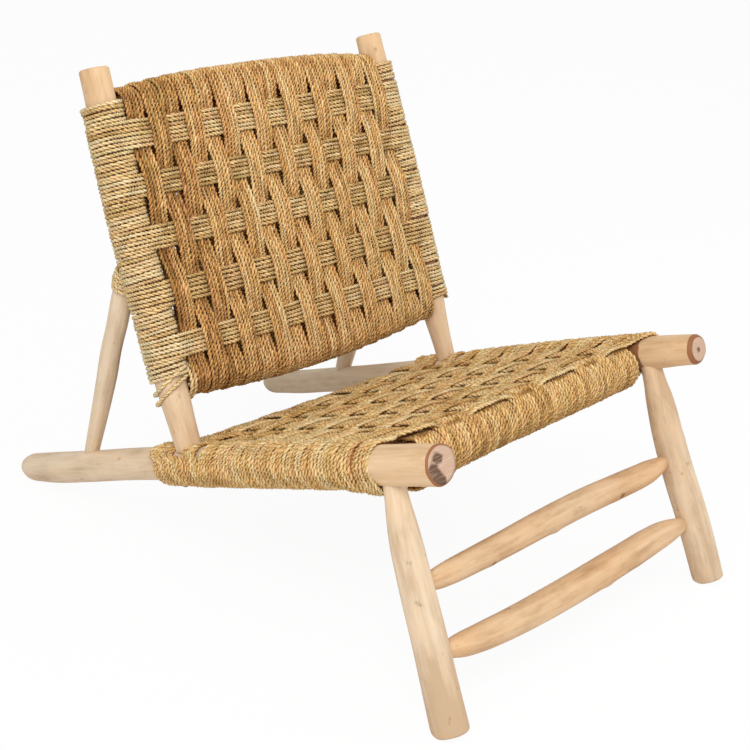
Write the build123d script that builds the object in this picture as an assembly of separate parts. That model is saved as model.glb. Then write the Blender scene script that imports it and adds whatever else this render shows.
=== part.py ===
from build123d import *

import math
import os
from dataclasses import dataclass

# A low lounge chair of peeled branches with a woven rope seat and back. Two long rails
# slope from the front legs down to the floor, two posts stand on them and lean back, and
# two struts prop the posts. Every branch ends in a round tenon in a round mortise. The
# rope is wound in flat groups of cords, each of which is one closed band here.
#
# Millimetres, +Z up, +Y towards the back, the sitter faces -Y. The origin lies on the
# floor, under the middle of the chair.

# --- seat rails -------------------------------------------------------------------------
RAIL_SPACING = 550.0
RAIL_LENGTH = 960.0
RAIL_FRONT_HEIGHT = 347.5
RAIL_RADIUS = 24.0
RAIL_NOSE_RADIUS = {"left": 25.0, "right": 21.5}
RAIL_NOSE_LENGTH = 60.0
RAIL_TAIL_RADIUS = {"left": 23.5, "right": 21.5}
RAIL_TAIL_ROUNDING = 45.0
RAIL_EDGE_BEVEL = 3.5

# --- front legs and their stretchers ----------------------------------------------------
LEG_SEAT = 87.0
LEG_RAKE = 24.0
LEG_SPLAY = 1.6
LEG_TOP_RADIUS = {"left": 14.5, "right": 15.0}
LEG_RADIUS = 22.5
LEG_TOP_TAPER = 70.0
FOOT_RADIUS = 24.5
LEG_TENON_RADIUS = 13.0
UPPER_STRETCHER_HEIGHT = 174.0
UPPER_STRETCHER_RADIUS = 19.5
LOWER_STRETCHER_HEIGHT = 82.0
LOWER_STRETCHER_RADIUS = 22.5
STRETCHER_END_RADIUS = 14.0
STRETCHER_TAPER = 50.0
STRETCHER_TENON_RADIUS = 9.5
STRETCHER_TENON_DEPTH = 26.0

# --- back posts, struts and crossbars ---------------------------------------------------
POST_SPACING = 543.0
POST_SEAT = 490.0
POST_HEIGHT = 559.0
BACK_RECLINE = 22.6
POST_RADIUS = 23.0
POST_TOP_RADIUS = {"left": 19.0, "right": 20.0}
POST_FOOT_RADIUS = {"left": 18.5, "right": 16.0}
POST_FOOT_TAPER = 95.0
POST_TENON_RADIUS = 12.5
STRUT_SEAT = 752.0
STRUT_DROP = 228.0
STRUT_RADIUS = 15.5
STRUT_FOOT_RADIUS = 12.5
STRUT_FOOT_TAPER = 110.0
STRUT_TENON_RADIUS = 9.0
TOP_BAR_DROP = 54.0
TOP_BAR_RISE = 16.0
BOTTOM_BAR_DROP = 434.0
BOTTOM_BAR_SAG = 17.0
BACK_BAR_RADIUS = 22.5
BACK_BAR_TENON_RADIUS = 12.0
BACK_BAR_NECK = 7.0

# --- seat crossbars ---------------------------------------------------------------------
SEAT_BAR_RADIUS = 20.0
SEAT_BAR_TENON_RADIUS = 11.0
SEAT_BAR_NECK = 20.0
TENON_PAST_AXIS = 12.0
MORTISE_WEB = 4.0

# --- rope -------------------------------------------------------------------------------
ROPE = 5.5
SLIT = 2.5
WARP_COUNT = 16
WEFT_WIDTH = 34.0
WEFT_SHARES = (0.112, 0.293, 0.487, 0.695, 0.892)
BINDING_TOP = 46.0
BINDING_BOTTOM = 436.0
LASHING_LENGTH = 30.0
CROSS_COUNT_FRONT = 12
CROSS_COUNT_REAR = 2
CROSS_BEND_START = 165.0
LONG_COUNT = 7
LONG_WIDTH = 32.0
LONG_EDGE_LEFT = 29.0
LONG_EDGE_RIGHT = 6.0
SEAT_DIP = 9.75
RAIL_BINDING_LENGTH = 22.0
STEP_EASE = 0.4

# --- clearances -------------------------------------------------------------------------
TENON_FIT = 0.2
SHOULDER_FIT = 0.25
ROPE_LAY = 0.25
TENON_END_GAP = 1.0

SIDES = {"left": -1.0, "right": 1.0}
FLOOR_DEPTH = 100.0
PROFILE_WIDTH = 400.0

# --- frames of the seat and of the back -------------------------------------------------
# The rails slope so that their rounded ends lie on the floor.
HEEL_RUN = RAIL_LENGTH - RAIL_TAIL_ROUNDING
HEEL_RADIUS = max(RAIL_TAIL_RADIUS.values())
TILT = math.asin(RAIL_FRONT_HEIGHT / math.hypot(HEEL_RUN, HEEL_RADIUS)) - math.atan2(HEEL_RADIUS, HEEL_RUN)
RECLINE = math.radians(BACK_RECLINE)
ACROSS = Vector(1, 0, 0)
SEAT_RUN = Vector(0, math.cos(TILT), -math.sin(TILT))
SEAT_UP = Vector(0, math.sin(TILT), math.cos(TILT))
BACK_DOWN = Vector(0, -math.sin(RECLINE), -math.cos(RECLINE))
BACK_FRONT = Vector(0, -math.cos(RECLINE), math.sin(RECLINE))


def seat_point(x, run, up=0.0):
    """Point at x, `run` behind the rails' front faces and `up` above their centre lines."""
    return Vector(x, 0, RAIL_FRONT_HEIGHT) + SEAT_RUN * run + SEAT_UP * up


POST_HEAD = seat_point(0, POST_SEAT) - BACK_DOWN * POST_HEIGHT


def back_point(x, drop, front=0.0):
    """Point at x, `drop` down the posts from their heads and `front` before their centres."""
    return POST_HEAD + ACROSS * x + BACK_DOWN * drop + BACK_FRONT * front


@dataclass
class Pole:
    """A round branch: a centre line and its radius at stations along it."""

    start: Vector
    axis: Vector
    stations: list

    def point(self, distance):
        return self.start + self.axis * distance

    def plane(self, distance=0.0):
        return Plane(origin=self.point(distance), z_dir=self.axis)

    def solid(self, grow=0.0):
        """The branch turned about its centre line, `grow` larger all round."""
        outline = [(0, self.stations[0][0])]
        outline += [(radius + grow, distance) for distance, radius in self.stations]
        outline += [(0, self.stations[-1][0])]
        face = make_face(Plane.XZ * Polyline(*outline, close=True))
        return self.plane() * revolve(face, Axis.Z)


def peg(start, end, radius):
    """A straight cylinder between two points."""
    run = end - start
    base = Plane(origin=start, z_dir=run) * Circle(radius)
    return extrude(base, amount=run.length)


def tube(pole, near, far, inner, outer):
    """A sleeve on a pole, from one distance along it to another."""
    ring = pole.plane(near) * (Circle(outer) - Circle(inner))
    return extrude(ring, amount=far - near)


def floor_cut(solid):
    """The solid without what lies below the floor."""
    reach = solid.bounding_box()
    size = reach.size
    block = Box(2 * size.X, 2 * size.Y, FLOOR_DEPTH, align=(Align.CENTER, Align.CENTER, Align.MAX))
    return solid - Pos(reach.center().X, reach.center().Y, 0) * block


# --- branches as centre lines and radii -------------------------------------------------
def make_rail(side):
    """Seat rail from its bevelled front face to its rounded end on the floor."""
    nose = RAIL_NOSE_RADIUS[side]
    tail = RAIL_TAIL_RADIUS[side]
    stations = [
        (0, nose - RAIL_EDGE_BEVEL),
        (RAIL_EDGE_BEVEL, nose),
        (RAIL_NOSE_LENGTH, RAIL_RADIUS),
        (STRUT_SEAT + STRUT_FOOT_RADIUS + STRUT_TENON_RADIUS, RAIL_RADIUS),
        (HEEL_RUN, tail),
    ]
    for share in (0.35, 0.65, 0.85, 0.96):
        stations.append((HEEL_RUN + share * RAIL_TAIL_ROUNDING, tail * math.sqrt(1 - share**2)))
    return Pole(seat_point(SIDES[side] * RAIL_SPACING / 2, 0), SEAT_RUN, stations)


def make_leg(side, rail):
    """Front leg from inside its rail down to the floor."""
    rake = math.radians(LEG_RAKE)
    outward = SIDES[side] * math.tan(math.radians(LEG_SPLAY))
    axis = Vector(outward, -math.tan(rake), -1).normalized()
    start = rail.point(LEG_SEAT)
    length = start.Z / -axis.Z
    stations = [
        (0, LEG_TOP_RADIUS[side]),
        (RAIL_RADIUS, LEG_TOP_RADIUS[side]),
        (RAIL_RADIUS + LEG_TOP_TAPER, LEG_RADIUS),
        (length, FOOT_RADIUS),
        (length + FOOT_RADIUS, FOOT_RADIUS),
    ]
    return Pole(start, axis, stations)


def make_post(side):
    """Back post from its head down to the centre line of its rail."""
    stations = [
        (0, POST_TOP_RADIUS[side] - RAIL_EDGE_BEVEL / 2),
        (RAIL_EDGE_BEVEL / 2, POST_TOP_RADIUS[side]),
        (BINDING_TOP - ROPE, POST_RADIUS),
        (BINDING_BOTTOM, POST_RADIUS),
        (BINDING_BOTTOM + POST_FOOT_TAPER, POST_FOOT_RADIUS[side]),
        (POST_HEIGHT, POST_FOOT_RADIUS[side]),
    ]
    return Pole(back_point(SIDES[side] * POST_SPACING / 2, 0), BACK_DOWN, stations)


def make_strut(side, post):
    """Rear strut from its seat on the rail up to the back of the post."""
    foot = seat_point(post.start.X, STRUT_SEAT)
    run = post.point(STRUT_DROP) - foot
    axis = run.normalized()
    lean = math.radians(axis.get_angle(BACK_DOWN * -1))
    clear = (POST_RADIUS + ROPE + 2 * ROPE_LAY + STRUT_RADIUS * math.cos(lean)) / math.sin(lean)
    stations = [
        (0, STRUT_FOOT_RADIUS),
        (RAIL_RADIUS, STRUT_FOOT_RADIUS),
        (RAIL_RADIUS + STRUT_FOOT_TAPER, STRUT_RADIUS),
        (run.length - clear, STRUT_RADIUS),
    ]
    return Pole(foot, axis, stations)


def leg_at_height(leg, height):
    """Distance down a leg to a height above the floor."""
    return (leg.start.Z - height) / -leg.axis.Z


def make_stretcher(legs, height, radius):
    """Stretcher between the two legs, thinner towards its ends."""
    ends = [legs[side].point(leg_at_height(legs[side], height)) for side in SIDES]
    run = ends[1] - ends[0]
    edge = LEG_RADIUS
    stations = [
        (edge - STRETCHER_TENON_RADIUS, STRETCHER_END_RADIUS),
        (edge, STRETCHER_END_RADIUS),
        (edge + STRETCHER_TAPER, radius),
        (run.length - edge - STRETCHER_TAPER, radius),
        (run.length - edge, STRETCHER_END_RADIUS),
        (run.length - edge + STRETCHER_TENON_RADIUS, STRETCHER_END_RADIUS),
    ]
    return Pole(ends[0], run.normalized(), stations)


RAILS = {side: make_rail(side) for side in SIDES}
LEGS = {side: make_leg(side, RAILS[side]) for side in SIDES}
POSTS = {side: make_post(side) for side in SIDES}
STRUTS = {side: make_strut(side, POSTS[side]) for side in SIDES}
STRETCHERS = {
    "upper": make_stretcher(LEGS, UPPER_STRETCHER_HEIGHT, UPPER_STRETCHER_RADIUS),
    "lower": make_stretcher(LEGS, LOWER_STRETCHER_HEIGHT, LOWER_STRETCHER_RADIUS),
}

# --- where the rope lies on the seat ----------------------------------------------------
STEP = ROPE + ROPE_LAY
WIND = ROPE_LAY + ROPE / 2
SEAT_LEVEL = RAIL_RADIUS + WIND - SEAT_DIP
LONG_BEND = SEAT_BAR_RADIUS + STEP + WIND
SEAT_BAR_UP = SEAT_LEVEL - LONG_BEND
SEAT_UNDER = SEAT_BAR_UP - LONG_BEND
POST_FOOT_WIDEST = max(POST_FOOT_RADIUS.values())
CROSS_LIMIT = POST_SEAT - POST_FOOT_WIDEST - 2 * ROPE_LAY
LEG_TOP_EDGE = LEG_SEAT + max(LEG_TOP_RADIUS.values()) + ROPE_LAY
# The front bar's mortise keeps clear of the leg's, and the first band clears the leg's top.
# That band lies over the bar, so its edge is half a band before the bar's centre.
HALF_BANDS = 2 * CROSS_COUNT_FRONT - 1
BAR_FOR_BAND = (LEG_TOP_EDGE - SLIT / 2 + CROSS_LIMIT / HALF_BANDS) / (1 + 1 / HALF_BANDS)
BAR_FOR_MORTISE = LEG_SEAT + LEG_TENON_RADIUS + SEAT_BAR_TENON_RADIUS + MORTISE_WEB
FRONT_BAR_RUN = max(BAR_FOR_BAND, BAR_FOR_MORTISE)
CROSS_PITCH = 2 * (CROSS_LIMIT - FRONT_BAR_RUN) / HALF_BANDS
CROSS_WIDTH = CROSS_PITCH - SLIT
CROSS_COUNT = CROSS_COUNT_FRONT + CROSS_COUNT_REAR
CROSS_END = CROSS_LIMIT + CROSS_COUNT_REAR * CROSS_PITCH
CROSS_DETOUR = 2 * (POST_FOOT_WIDEST + 2 * ROPE_LAY)
REAR_BAR_RUN = CROSS_END + LONG_BEND
FRONT_EDGE = FRONT_BAR_RUN - CROSS_WIDTH / 2
REAR_EDGE = CROSS_END + CROSS_DETOUR - SLIT / 2
BAR_FACE = RAIL_SPACING / 2 - RAIL_RADIUS
LONG_FIRST = -BAR_FACE + LONG_EDGE_LEFT + LONG_WIDTH / 2
LONG_LAST = BAR_FACE - LONG_EDGE_RIGHT - LONG_WIDTH / 2
LONG_PITCH = (LONG_LAST - LONG_FIRST) / (LONG_COUNT - 1)
LONG_PLACES = [LONG_FIRST + index * LONG_PITCH for index in range(LONG_COUNT)]

# --- where the rope lies on the back ----------------------------------------------------
BACK_LEVEL = POST_RADIUS + WIND
BINDING_RADIUS = POST_RADIUS + ROPE_LAY + ROPE
WARP_FIELD = POST_SPACING - 2 * (BINDING_RADIUS + ROPE_LAY)
WARP_PITCH = WARP_FIELD / WARP_COUNT
WARP_WIDTH = WARP_PITCH - SLIT
BACK_BAR_SPAN = BOTTOM_BAR_DROP - TOP_BAR_DROP
WEFT_DROPS = [TOP_BAR_DROP + share * BACK_BAR_SPAN for share in WEFT_SHARES]
BACK_BAR_REACH = POST_SPACING / 2 - BINDING_RADIUS - BACK_BAR_NECK / 2


@dataclass
class Bow:
    """Centre line of a bowed back bar: a circular arc that rises towards its middle."""

    end_drop: float
    rise: float

    def arc(self):
        return (BACK_BAR_REACH**2 + self.rise**2) / (2 * self.rise)

    def drop(self, x):
        """How far down the posts the centre line lies at x."""
        arc = self.arc()
        return self.end_drop - self.rise + arc - math.copysign(math.sqrt(arc**2 - x**2), arc)

    def upright_radius(self, x):
        """Half the height of the bar's slanted section at x."""
        return BACK_BAR_RADIUS / math.cos(math.asin(x / self.arc()))


TOP_BOW = Bow(TOP_BAR_DROP, TOP_BAR_RISE)
BOTTOM_BOW = Bow(BOTTOM_BAR_DROP, -BOTTOM_BAR_SAG)


# --- rope bands -------------------------------------------------------------------------
@dataclass
class Bend:
    """A round thing that a band is wound on, in the band's own plane."""

    u: float
    w: float
    radius: float


def leave(bend, point, inward, side, offset):
    """Where a taut band leaves a bend towards a point, and its direction there."""
    radius = bend.radius + offset
    du = (point[0] - bend.u) * inward
    dw = (point[1] - bend.w) * side
    turn = math.atan2(du, dw) - math.acos(min(1.0, radius / math.hypot(du, dw)))
    place = (bend.u + inward * radius * math.sin(turn), bend.w + side * radius * math.cos(turn))
    return place, (math.cos(turn), -inward * side * math.sin(turn))


def step_curve(start, heading, end, arriving):
    """Smooth line between two points that leaves and arrives in the given directions."""
    reach = math.hypot(end[0] - start[0], end[1] - start[1]) * STEP_EASE
    return Bezier(
        start,
        (start[0] + heading[0] * reach, start[1] + heading[1] * reach),
        (end[0] - arriving[0] * reach, end[1] - arriving[1] * reach),
        end,
    )


def band_run(first, last, points, side, offset):
    """One layer of a band: taut from its bends, level at crossings, smooth steps between."""
    level = (1.0, 0.0)
    shifted = [(u, w + side * offset) for u, w in points]
    start, heading = leave(first, shifted[0], 1, side, offset)
    end, arriving = leave(last, shifted[-1], -1, side, offset)
    edges = [step_curve(start, heading, shifted[0], level)]
    for here, there in zip(shifted, shifted[1:]):
        flat = abs(here[1] - there[1]) < ROPE_LAY
        edges.append(Line(here, there) if flat else step_curve(here, level, there, level))
    edges.append(step_curve(shifted[-1], level, end, arriving))
    return Wire(edges)


def loop_face(first, last, upper, under, offset):
    """Face inside a closed band line that lies `offset` outside the band's middle."""
    top = band_run(first, last, upper, 1, offset)
    base = band_run(first, last, under, -1, offset)
    far = ThreePointArc(top @ 1, (last.u + last.radius + offset, last.w), base @ 1)
    near = ThreePointArc(base @ 0, (first.u - first.radius - offset, first.w), top @ 0)
    return make_face([top, far, base, near])


def crossings(places, half, levels):
    """Both edges of each crossing, at the level that the band has there."""
    points = []
    for place, level in zip(places, levels):
        points += [(place - half, level), (place + half, level)]
    return points


def seat_cross_band(index):
    """A band wound across both rails, woven over and under the long bands."""
    lifts = [STEP if (index + place) % 2 == 0 else -STEP for place in range(1, LONG_COUNT + 1)]
    half = LONG_WIDTH / 2
    bends = [Bend(SIDES[side] * RAIL_SPACING / 2, 0, RAIL_RADIUS + WIND) for side in SIDES]
    upper = crossings(LONG_PLACES, half, [SEAT_LEVEL + lift for lift in lifts])
    under = crossings(LONG_PLACES, half, [SEAT_UNDER - lift for lift in lifts])
    outer = loop_face(*bends, upper, under, ROPE / 2)
    inner = loop_face(*bends, upper, under, -ROPE / 2)
    middle = FRONT_BAR_RUN + (index - 1) * CROSS_PITCH
    reach = CROSS_WIDTH / 2 + (CROSS_DETOUR if index > CROSS_COUNT_FRONT else 0)
    plane = Plane(origin=seat_point(0, middle), x_dir=ACROSS, z_dir=SEAT_RUN * -1)
    band = extrude(plane * (outer - inner), amount=reach, both=True)
    if index > CROSS_COUNT_FRONT:
        band = band & bent_strip(middle)
    return band


def bent_strip(middle):
    """Prism over a strip that swings back round the posts at both rails."""
    edge = RAIL_SPACING / 2 + RAIL_RADIUS + 2 * ROPE
    knee = POST_SPACING / 2 - POST_FOOT_WIDEST - ROPE
    half = CROSS_WIDTH / 2
    path = [
        (-edge, CROSS_DETOUR),
        (-knee, CROSS_DETOUR),
        (-CROSS_BEND_START, 0),
        (CROSS_BEND_START, 0),
        (knee, CROSS_DETOUR),
        (edge, CROSS_DETOUR),
    ]
    rear = [(x, run + half) for x, run in path]
    front = [(x, run - half) for x, run in reversed(path)]
    plane = Plane(origin=seat_point(0, middle), x_dir=ACROSS, z_dir=SEAT_UP)
    return extrude(plane * make_face(Polyline(*rear, *front, close=True)), PROFILE_WIDTH / 2, both=True)


def seat_long_band(index):
    """A flat band wound round the front and rear bars, over their first layer of rope."""
    front = Bend(FRONT_BAR_RUN, SEAT_BAR_UP, LONG_BEND)
    rear = Bend(REAR_BAR_RUN, SEAT_BAR_UP, LONG_BEND)
    runs = (FRONT_EDGE, REAR_EDGE)
    upper = [(run, SEAT_LEVEL) for run in runs]
    under = [(run, SEAT_UNDER) for run in runs]
    outer = loop_face(front, rear, upper, under, ROPE / 2)
    inner = loop_face(front, rear, upper, under, -ROPE / 2)
    plane = Plane(origin=seat_point(LONG_PLACES[index - 1], 0), x_dir=SEAT_RUN, z_dir=ACROSS)
    return extrude(plane * (outer - inner), amount=LONG_WIDTH / 2, both=True)


def back_warp_band(index):
    """A band wound over both back bars, woven over and under the rows."""
    middle = (index - (WARP_COUNT + 1) / 2) * WARP_PITCH
    covered = [(index + row) % 2 == 0 for row in range(1, len(WEFT_DROPS) + 1)]
    levels = [BACK_LEVEL + (-STEP if hidden else STEP) for hidden in covered]
    half = WEFT_WIDTH / 2
    front = crossings(WEFT_DROPS, half, levels)
    rear = crossings(WEFT_DROPS, half, [-level for level in levels])
    skins = []
    for offset in (ROPE / 2, -ROPE / 2):
        sections = []
        for x in (middle - WARP_WIDTH / 2, middle + WARP_WIDTH / 2):
            top, bottom = [
                Bend(bow.drop(x), 0, bow.upright_radius(x) + WIND) for bow in (TOP_BOW, BOTTOM_BOW)
            ]
            plane = Plane(origin=back_point(x, 0), x_dir=BACK_DOWN, z_dir=ACROSS * -1)
            sections.append(plane * loop_face(top, bottom, front, rear, offset))
        skins.append(loft(sections, ruled=True))
    return skins[0] - skins[1]


def back_weft_band(row):
    """A flat row of cords wound round both posts."""
    bends = [Bend(SIDES[side] * POST_SPACING / 2, 0, BACK_LEVEL) for side in SIDES]
    corners = [(-WARP_FIELD / 2, BACK_LEVEL), (WARP_FIELD / 2, BACK_LEVEL)]
    under = [(x, -level) for x, level in corners]
    outer = loop_face(*bends, corners, under, ROPE / 2)
    inner = loop_face(*bends, corners, under, -ROPE / 2)
    plane = Plane(origin=back_point(0, WEFT_DROPS[row - 1]), x_dir=ACROSS, z_dir=BACK_DOWN)
    band = extrude(plane * (outer - inner), amount=WEFT_WIDTH / 2, both=True)
    for side in SIDES:
        band -= strut_tenon(side, ROPE_LAY)
    return band


# --- tenons, each made once and cut from what it enters with its clearance --------------
def leg_tenon(side, grow=0.0):
    leg = LEGS[side]
    return peg(leg.point(-TENON_PAST_AXIS - end_gap(grow)), leg.point(RAIL_RADIUS + LEG_TOP_TAPER / 2),
               LEG_TENON_RADIUS + grow)


def post_tenon(side, grow=0.0):
    post = POSTS[side]
    return peg(post.point(POST_HEIGHT - RAIL_RADIUS - POST_FOOT_TAPER / 2),
               post.point(POST_HEIGHT + TENON_PAST_AXIS + end_gap(grow)), POST_TENON_RADIUS + grow)


def strut_tenon(side, grow=0.0):
    strut = STRUTS[side]
    top = (POSTS[side].point(STRUT_DROP) - strut.start).length
    return peg(strut.point(strut.stations[-1][0] - STRUT_TENON_RADIUS),
               strut.point(top + end_gap(grow)), STRUT_TENON_RADIUS + grow)


def strut_foot_tenon(side, grow=0.0):
    strut = STRUTS[side]
    return peg(strut.point(-TENON_PAST_AXIS - end_gap(grow)), strut.point(RAIL_RADIUS + STRUT_FOOT_TAPER / 2),
               STRUT_TENON_RADIUS + grow)


def stretcher_tenon(name, side, grow=0.0):
    pole = STRETCHERS[name]
    sign = SIDES[side]
    end = 0 if sign < 0 else pole.stations[0][0] + pole.stations[-1][0]
    outer = LEG_RADIUS - STRETCHER_TENON_DEPTH - end_gap(grow)
    inner = LEG_RADIUS + STRETCHER_TAPER
    return peg(pole.point(end - sign * outer), pole.point(end - sign * inner), STRETCHER_TENON_RADIUS + grow)


def seat_bar_tenon(run, side, grow=0.0):
    reach = RAIL_SPACING / 2 + end_gap(grow)
    root = BAR_FACE - 2 * SEAT_BAR_NECK
    return peg(seat_point(SIDES[side] * root, run, SEAT_BAR_UP),
               seat_point(SIDES[side] * reach, run, SEAT_BAR_UP), SEAT_BAR_TENON_RADIUS + grow)


def back_bar_tenon(bow, side, grow=0.0):
    reach = POST_SPACING / 2 + TENON_PAST_AXIS / 2 + end_gap(grow)
    return peg(back_point(SIDES[side] * (BACK_BAR_REACH - BACK_BAR_NECK), bow.end_drop),
               back_point(SIDES[side] * reach, bow.end_drop), BACK_BAR_TENON_RADIUS + grow)


def end_gap(grow):
    """A mortise is deeper than its tenon by a set gap."""
    return TENON_END_GAP if grow else 0.0


# --- wood -------------------------------------------------------------------------------
def seat_rail(side):
    rail = floor_cut(RAILS[side].solid())
    rail -= leg_tenon(side, TENON_FIT)
    rail -= post_tenon(side, TENON_FIT)
    rail -= strut_foot_tenon(side, TENON_FIT)
    rail -= seat_bar_tenon(FRONT_BAR_RUN, side, TENON_FIT)
    rail -= seat_bar_tenon(REAR_BAR_RUN, side, TENON_FIT)
    return rail


def front_leg(side):
    leg = LEGS[side].solid() - RAILS[side].solid(SHOULDER_FIT)
    leg = floor_cut(leg) + leg_tenon(side)
    for name in STRETCHERS:
        leg -= stretcher_tenon(name, side, TENON_FIT)
    return leg


def stretcher(name):
    pole = STRETCHERS[name].solid()
    for side in SIDES:
        pole -= LEGS[side].solid(SHOULDER_FIT)
    for side in SIDES:
        pole += stretcher_tenon(name, side)
    return pole


def back_post(side):
    post = POSTS[side].solid() - RAILS[side].solid(SHOULDER_FIT)
    post += post_tenon(side)
    post -= strut_tenon(side, TENON_FIT)
    for bow in (TOP_BOW, BOTTOM_BOW):
        post -= back_bar_tenon(bow, side, TENON_FIT)
    return post


def rear_strut(side):
    strut = STRUTS[side].solid() - RAILS[side].solid(SHOULDER_FIT)
    return strut + strut_tenon(side) + strut_foot_tenon(side)


def seat_bar(run):
    """Seat crossbar: full thickness between its necks, a tenon in each rail."""
    full = BAR_FACE - SEAT_BAR_NECK
    stations = [
        (-BAR_FACE + SHOULDER_FIT, SEAT_BAR_TENON_RADIUS),
        (-full, SEAT_BAR_RADIUS),
        (full, SEAT_BAR_RADIUS),
        (BAR_FACE - SHOULDER_FIT, SEAT_BAR_TENON_RADIUS),
    ]
    bar = Pole(seat_point(0, run, SEAT_BAR_UP), ACROSS, stations).solid()
    for side in SIDES:
        bar -= RAILS[side].solid(SHOULDER_FIT)
    for side in SIDES:
        bar += seat_bar_tenon(run, side)
    return bar


def back_bar(bow):
    """Back crossbar: bowed between its necks, a tenon in each post."""
    full = BACK_BAR_REACH - BACK_BAR_NECK
    ends = [back_point(sign * full, bow.drop(full)) for sign in SIDES.values()]
    path = ThreePointArc(ends[0], back_point(0, bow.drop(0)), ends[1])
    bar = sweep(Plane(origin=path @ 0, z_dir=path % 0) * Circle(BACK_BAR_RADIUS), path=path)
    for side, sign in SIDES.items():
        heading = (path % (0 if sign < 0 else 1)) * sign
        root = Plane(origin=back_point(sign * full, bow.drop(full)), z_dir=heading)
        tip = Plane(origin=back_point(sign * BACK_BAR_REACH, bow.end_drop), z_dir=ACROSS * sign)
        bar += loft([root * Circle(BACK_BAR_RADIUS), tip * Circle(BACK_BAR_TENON_RADIUS)])
        bar += back_bar_tenon(bow, side)
    return bar


# --- bindings ---------------------------------------------------------------------------
def post_binding(side):
    """Rope wound on a post between the rows, and the lashing round the strut's head."""
    post = POSTS[side]
    half = WEFT_WIDTH / 2 + ROPE_LAY
    starts = [BINDING_TOP] + [drop + half for drop in WEFT_DROPS]
    ends = [drop - half for drop in WEFT_DROPS] + [BINDING_BOTTOM]
    sleeves = []
    for start, end in zip(starts, ends):
        sleeve = tube(post, start, end, POST_RADIUS + ROPE_LAY, BINDING_RADIUS)
        sleeve -= strut_tenon(side, ROPE_LAY)
        for bow in (TOP_BOW, BOTTOM_BOW):
            sleeve -= back_bar_tenon(bow, side, ROPE_LAY)
        sleeves += sleeve.solids()
    strut = STRUTS[side]
    head = strut.stations[-1][0]
    lashing = tube(strut, head - LASHING_LENGTH / 2, head + LASHING_LENGTH,
                   STRUT_RADIUS + ROPE_LAY, STRUT_RADIUS + ROPE_LAY + ROPE)
    behind = BINDING_RADIUS + ROPE_LAY
    front_half = Box(PROFILE_WIDTH, PROFILE_WIDTH, PROFILE_WIDTH, align=(Align.CENTER, Align.CENTER, Align.MIN))
    middle = back_point(post.start.X, STRUT_DROP, -behind)
    lashing -= Plane(origin=middle, x_dir=ACROSS, z_dir=BACK_FRONT) * front_half
    return Compound(sleeves + lashing.solids())


def bar_binding(run, facing, edge):
    """Rope on the outer side of a seat bar: a first layer, and turns between the long bands."""
    bar = Pole(seat_point(0, run, SEAT_BAR_UP), ACROSS, [])
    full = BAR_FACE - ROPE
    half = LONG_WIDTH / 2 + ROPE_LAY
    inner = SEAT_BAR_RADIUS + ROPE_LAY
    block = Box(RAIL_SPACING, PROFILE_WIDTH, PROFILE_WIDTH)
    middle = seat_point(0, edge - facing * PROFILE_WIDTH / 2)
    seat_side = Plane(origin=middle, x_dir=ACROSS, z_dir=SEAT_UP) * block
    winding = tube(bar, -full, full, inner, inner + ROPE)
    starts = [-full] + [place + half for place in LONG_PLACES]
    ends = [place - half for place in LONG_PLACES] + [full]
    for start, end in zip(starts, ends):
        if end > start:
            winding += tube(bar, start, end, inner, inner + ROPE + STEP)
    return (winding - seat_side).solids()


def rail_sleeve(side):
    """Rope turns on a rail just behind the last cross band."""
    start = REAR_EDGE + ROPE_LAY
    inner = RAIL_RADIUS + ROPE_LAY
    sleeve = tube(RAILS[side], start, start + RAIL_BINDING_LENGTH, inner, inner + ROPE)
    root = BAR_FACE - 2 * SEAT_BAR_NECK
    room = SEAT_BAR_RADIUS + ROPE_LAY + STEP + ROPE_LAY
    sleeve -= peg(seat_point(SIDES[side] * root, REAR_BAR_RUN, SEAT_BAR_UP),
                  seat_point(SIDES[side] * RAIL_SPACING / 2, REAR_BAR_RUN, SEAT_BAR_UP), room)
    return sleeve.solids()


def build_parts():
    """Every sub-part of the chair by its name."""
    parts = {}
    for side in SIDES:
        parts[f"{side}_seat_rail"] = seat_rail(side)
        parts[f"{side}_front_leg"] = front_leg(side)
        parts[f"{side}_back_post"] = back_post(side)
        parts[f"{side}_rear_strut"] = rear_strut(side)
        parts[f"{side}_post_binding"] = post_binding(side)
    for name in STRETCHERS:
        parts[f"{name}_front_stretcher"] = stretcher(name)
    parts["seat_front_crossbar"] = seat_bar(FRONT_BAR_RUN)
    parts["seat_rear_crossbar"] = seat_bar(REAR_BAR_RUN)
    parts["back_top_crossbar"] = back_bar(TOP_BOW)
    parts["back_bottom_crossbar"] = back_bar(BOTTOM_BOW)
    for index in range(1, WARP_COUNT + 1):
        parts[f"back_warp_{index:02d}"] = back_warp_band(index)
    for row in range(1, len(WEFT_DROPS) + 1):
        parts[f"back_weft_{row}"] = back_weft_band(row)
    for index in range(1, CROSS_COUNT + 1):
        parts[f"seat_cross_{index:02d}"] = seat_cross_band(index)
    for index in range(1, LONG_COUNT + 1):
        parts[f"seat_long_{index}"] = seat_long_band(index)
    parts["seat_front_binding"] = Compound(bar_binding(FRONT_BAR_RUN, -1, FRONT_EDGE - ROPE_LAY))
    rear = bar_binding(REAR_BAR_RUN, 1, REAR_EDGE + ROPE_LAY)
    parts["seat_rear_binding"] = Compound(rear + rail_sleeve("left") + rail_sleeve("right"))
    return parts


def main():
    os.makedirs("parts", exist_ok=True)
    parts = build_parts()
    reach = Compound([parts["left_front_leg"], parts["left_seat_rail"]]).bounding_box()
    to_origin = Pos(0, -reach.center().Y, 0)
    for name, solid in parts.items():
        export_step(to_origin * solid, os.path.join("parts", f"{name}.step"))
        print(f"{name}: {len(solid.solids())} solids, {solid.volume / 1000:.1f} cm3")


main()
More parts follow.
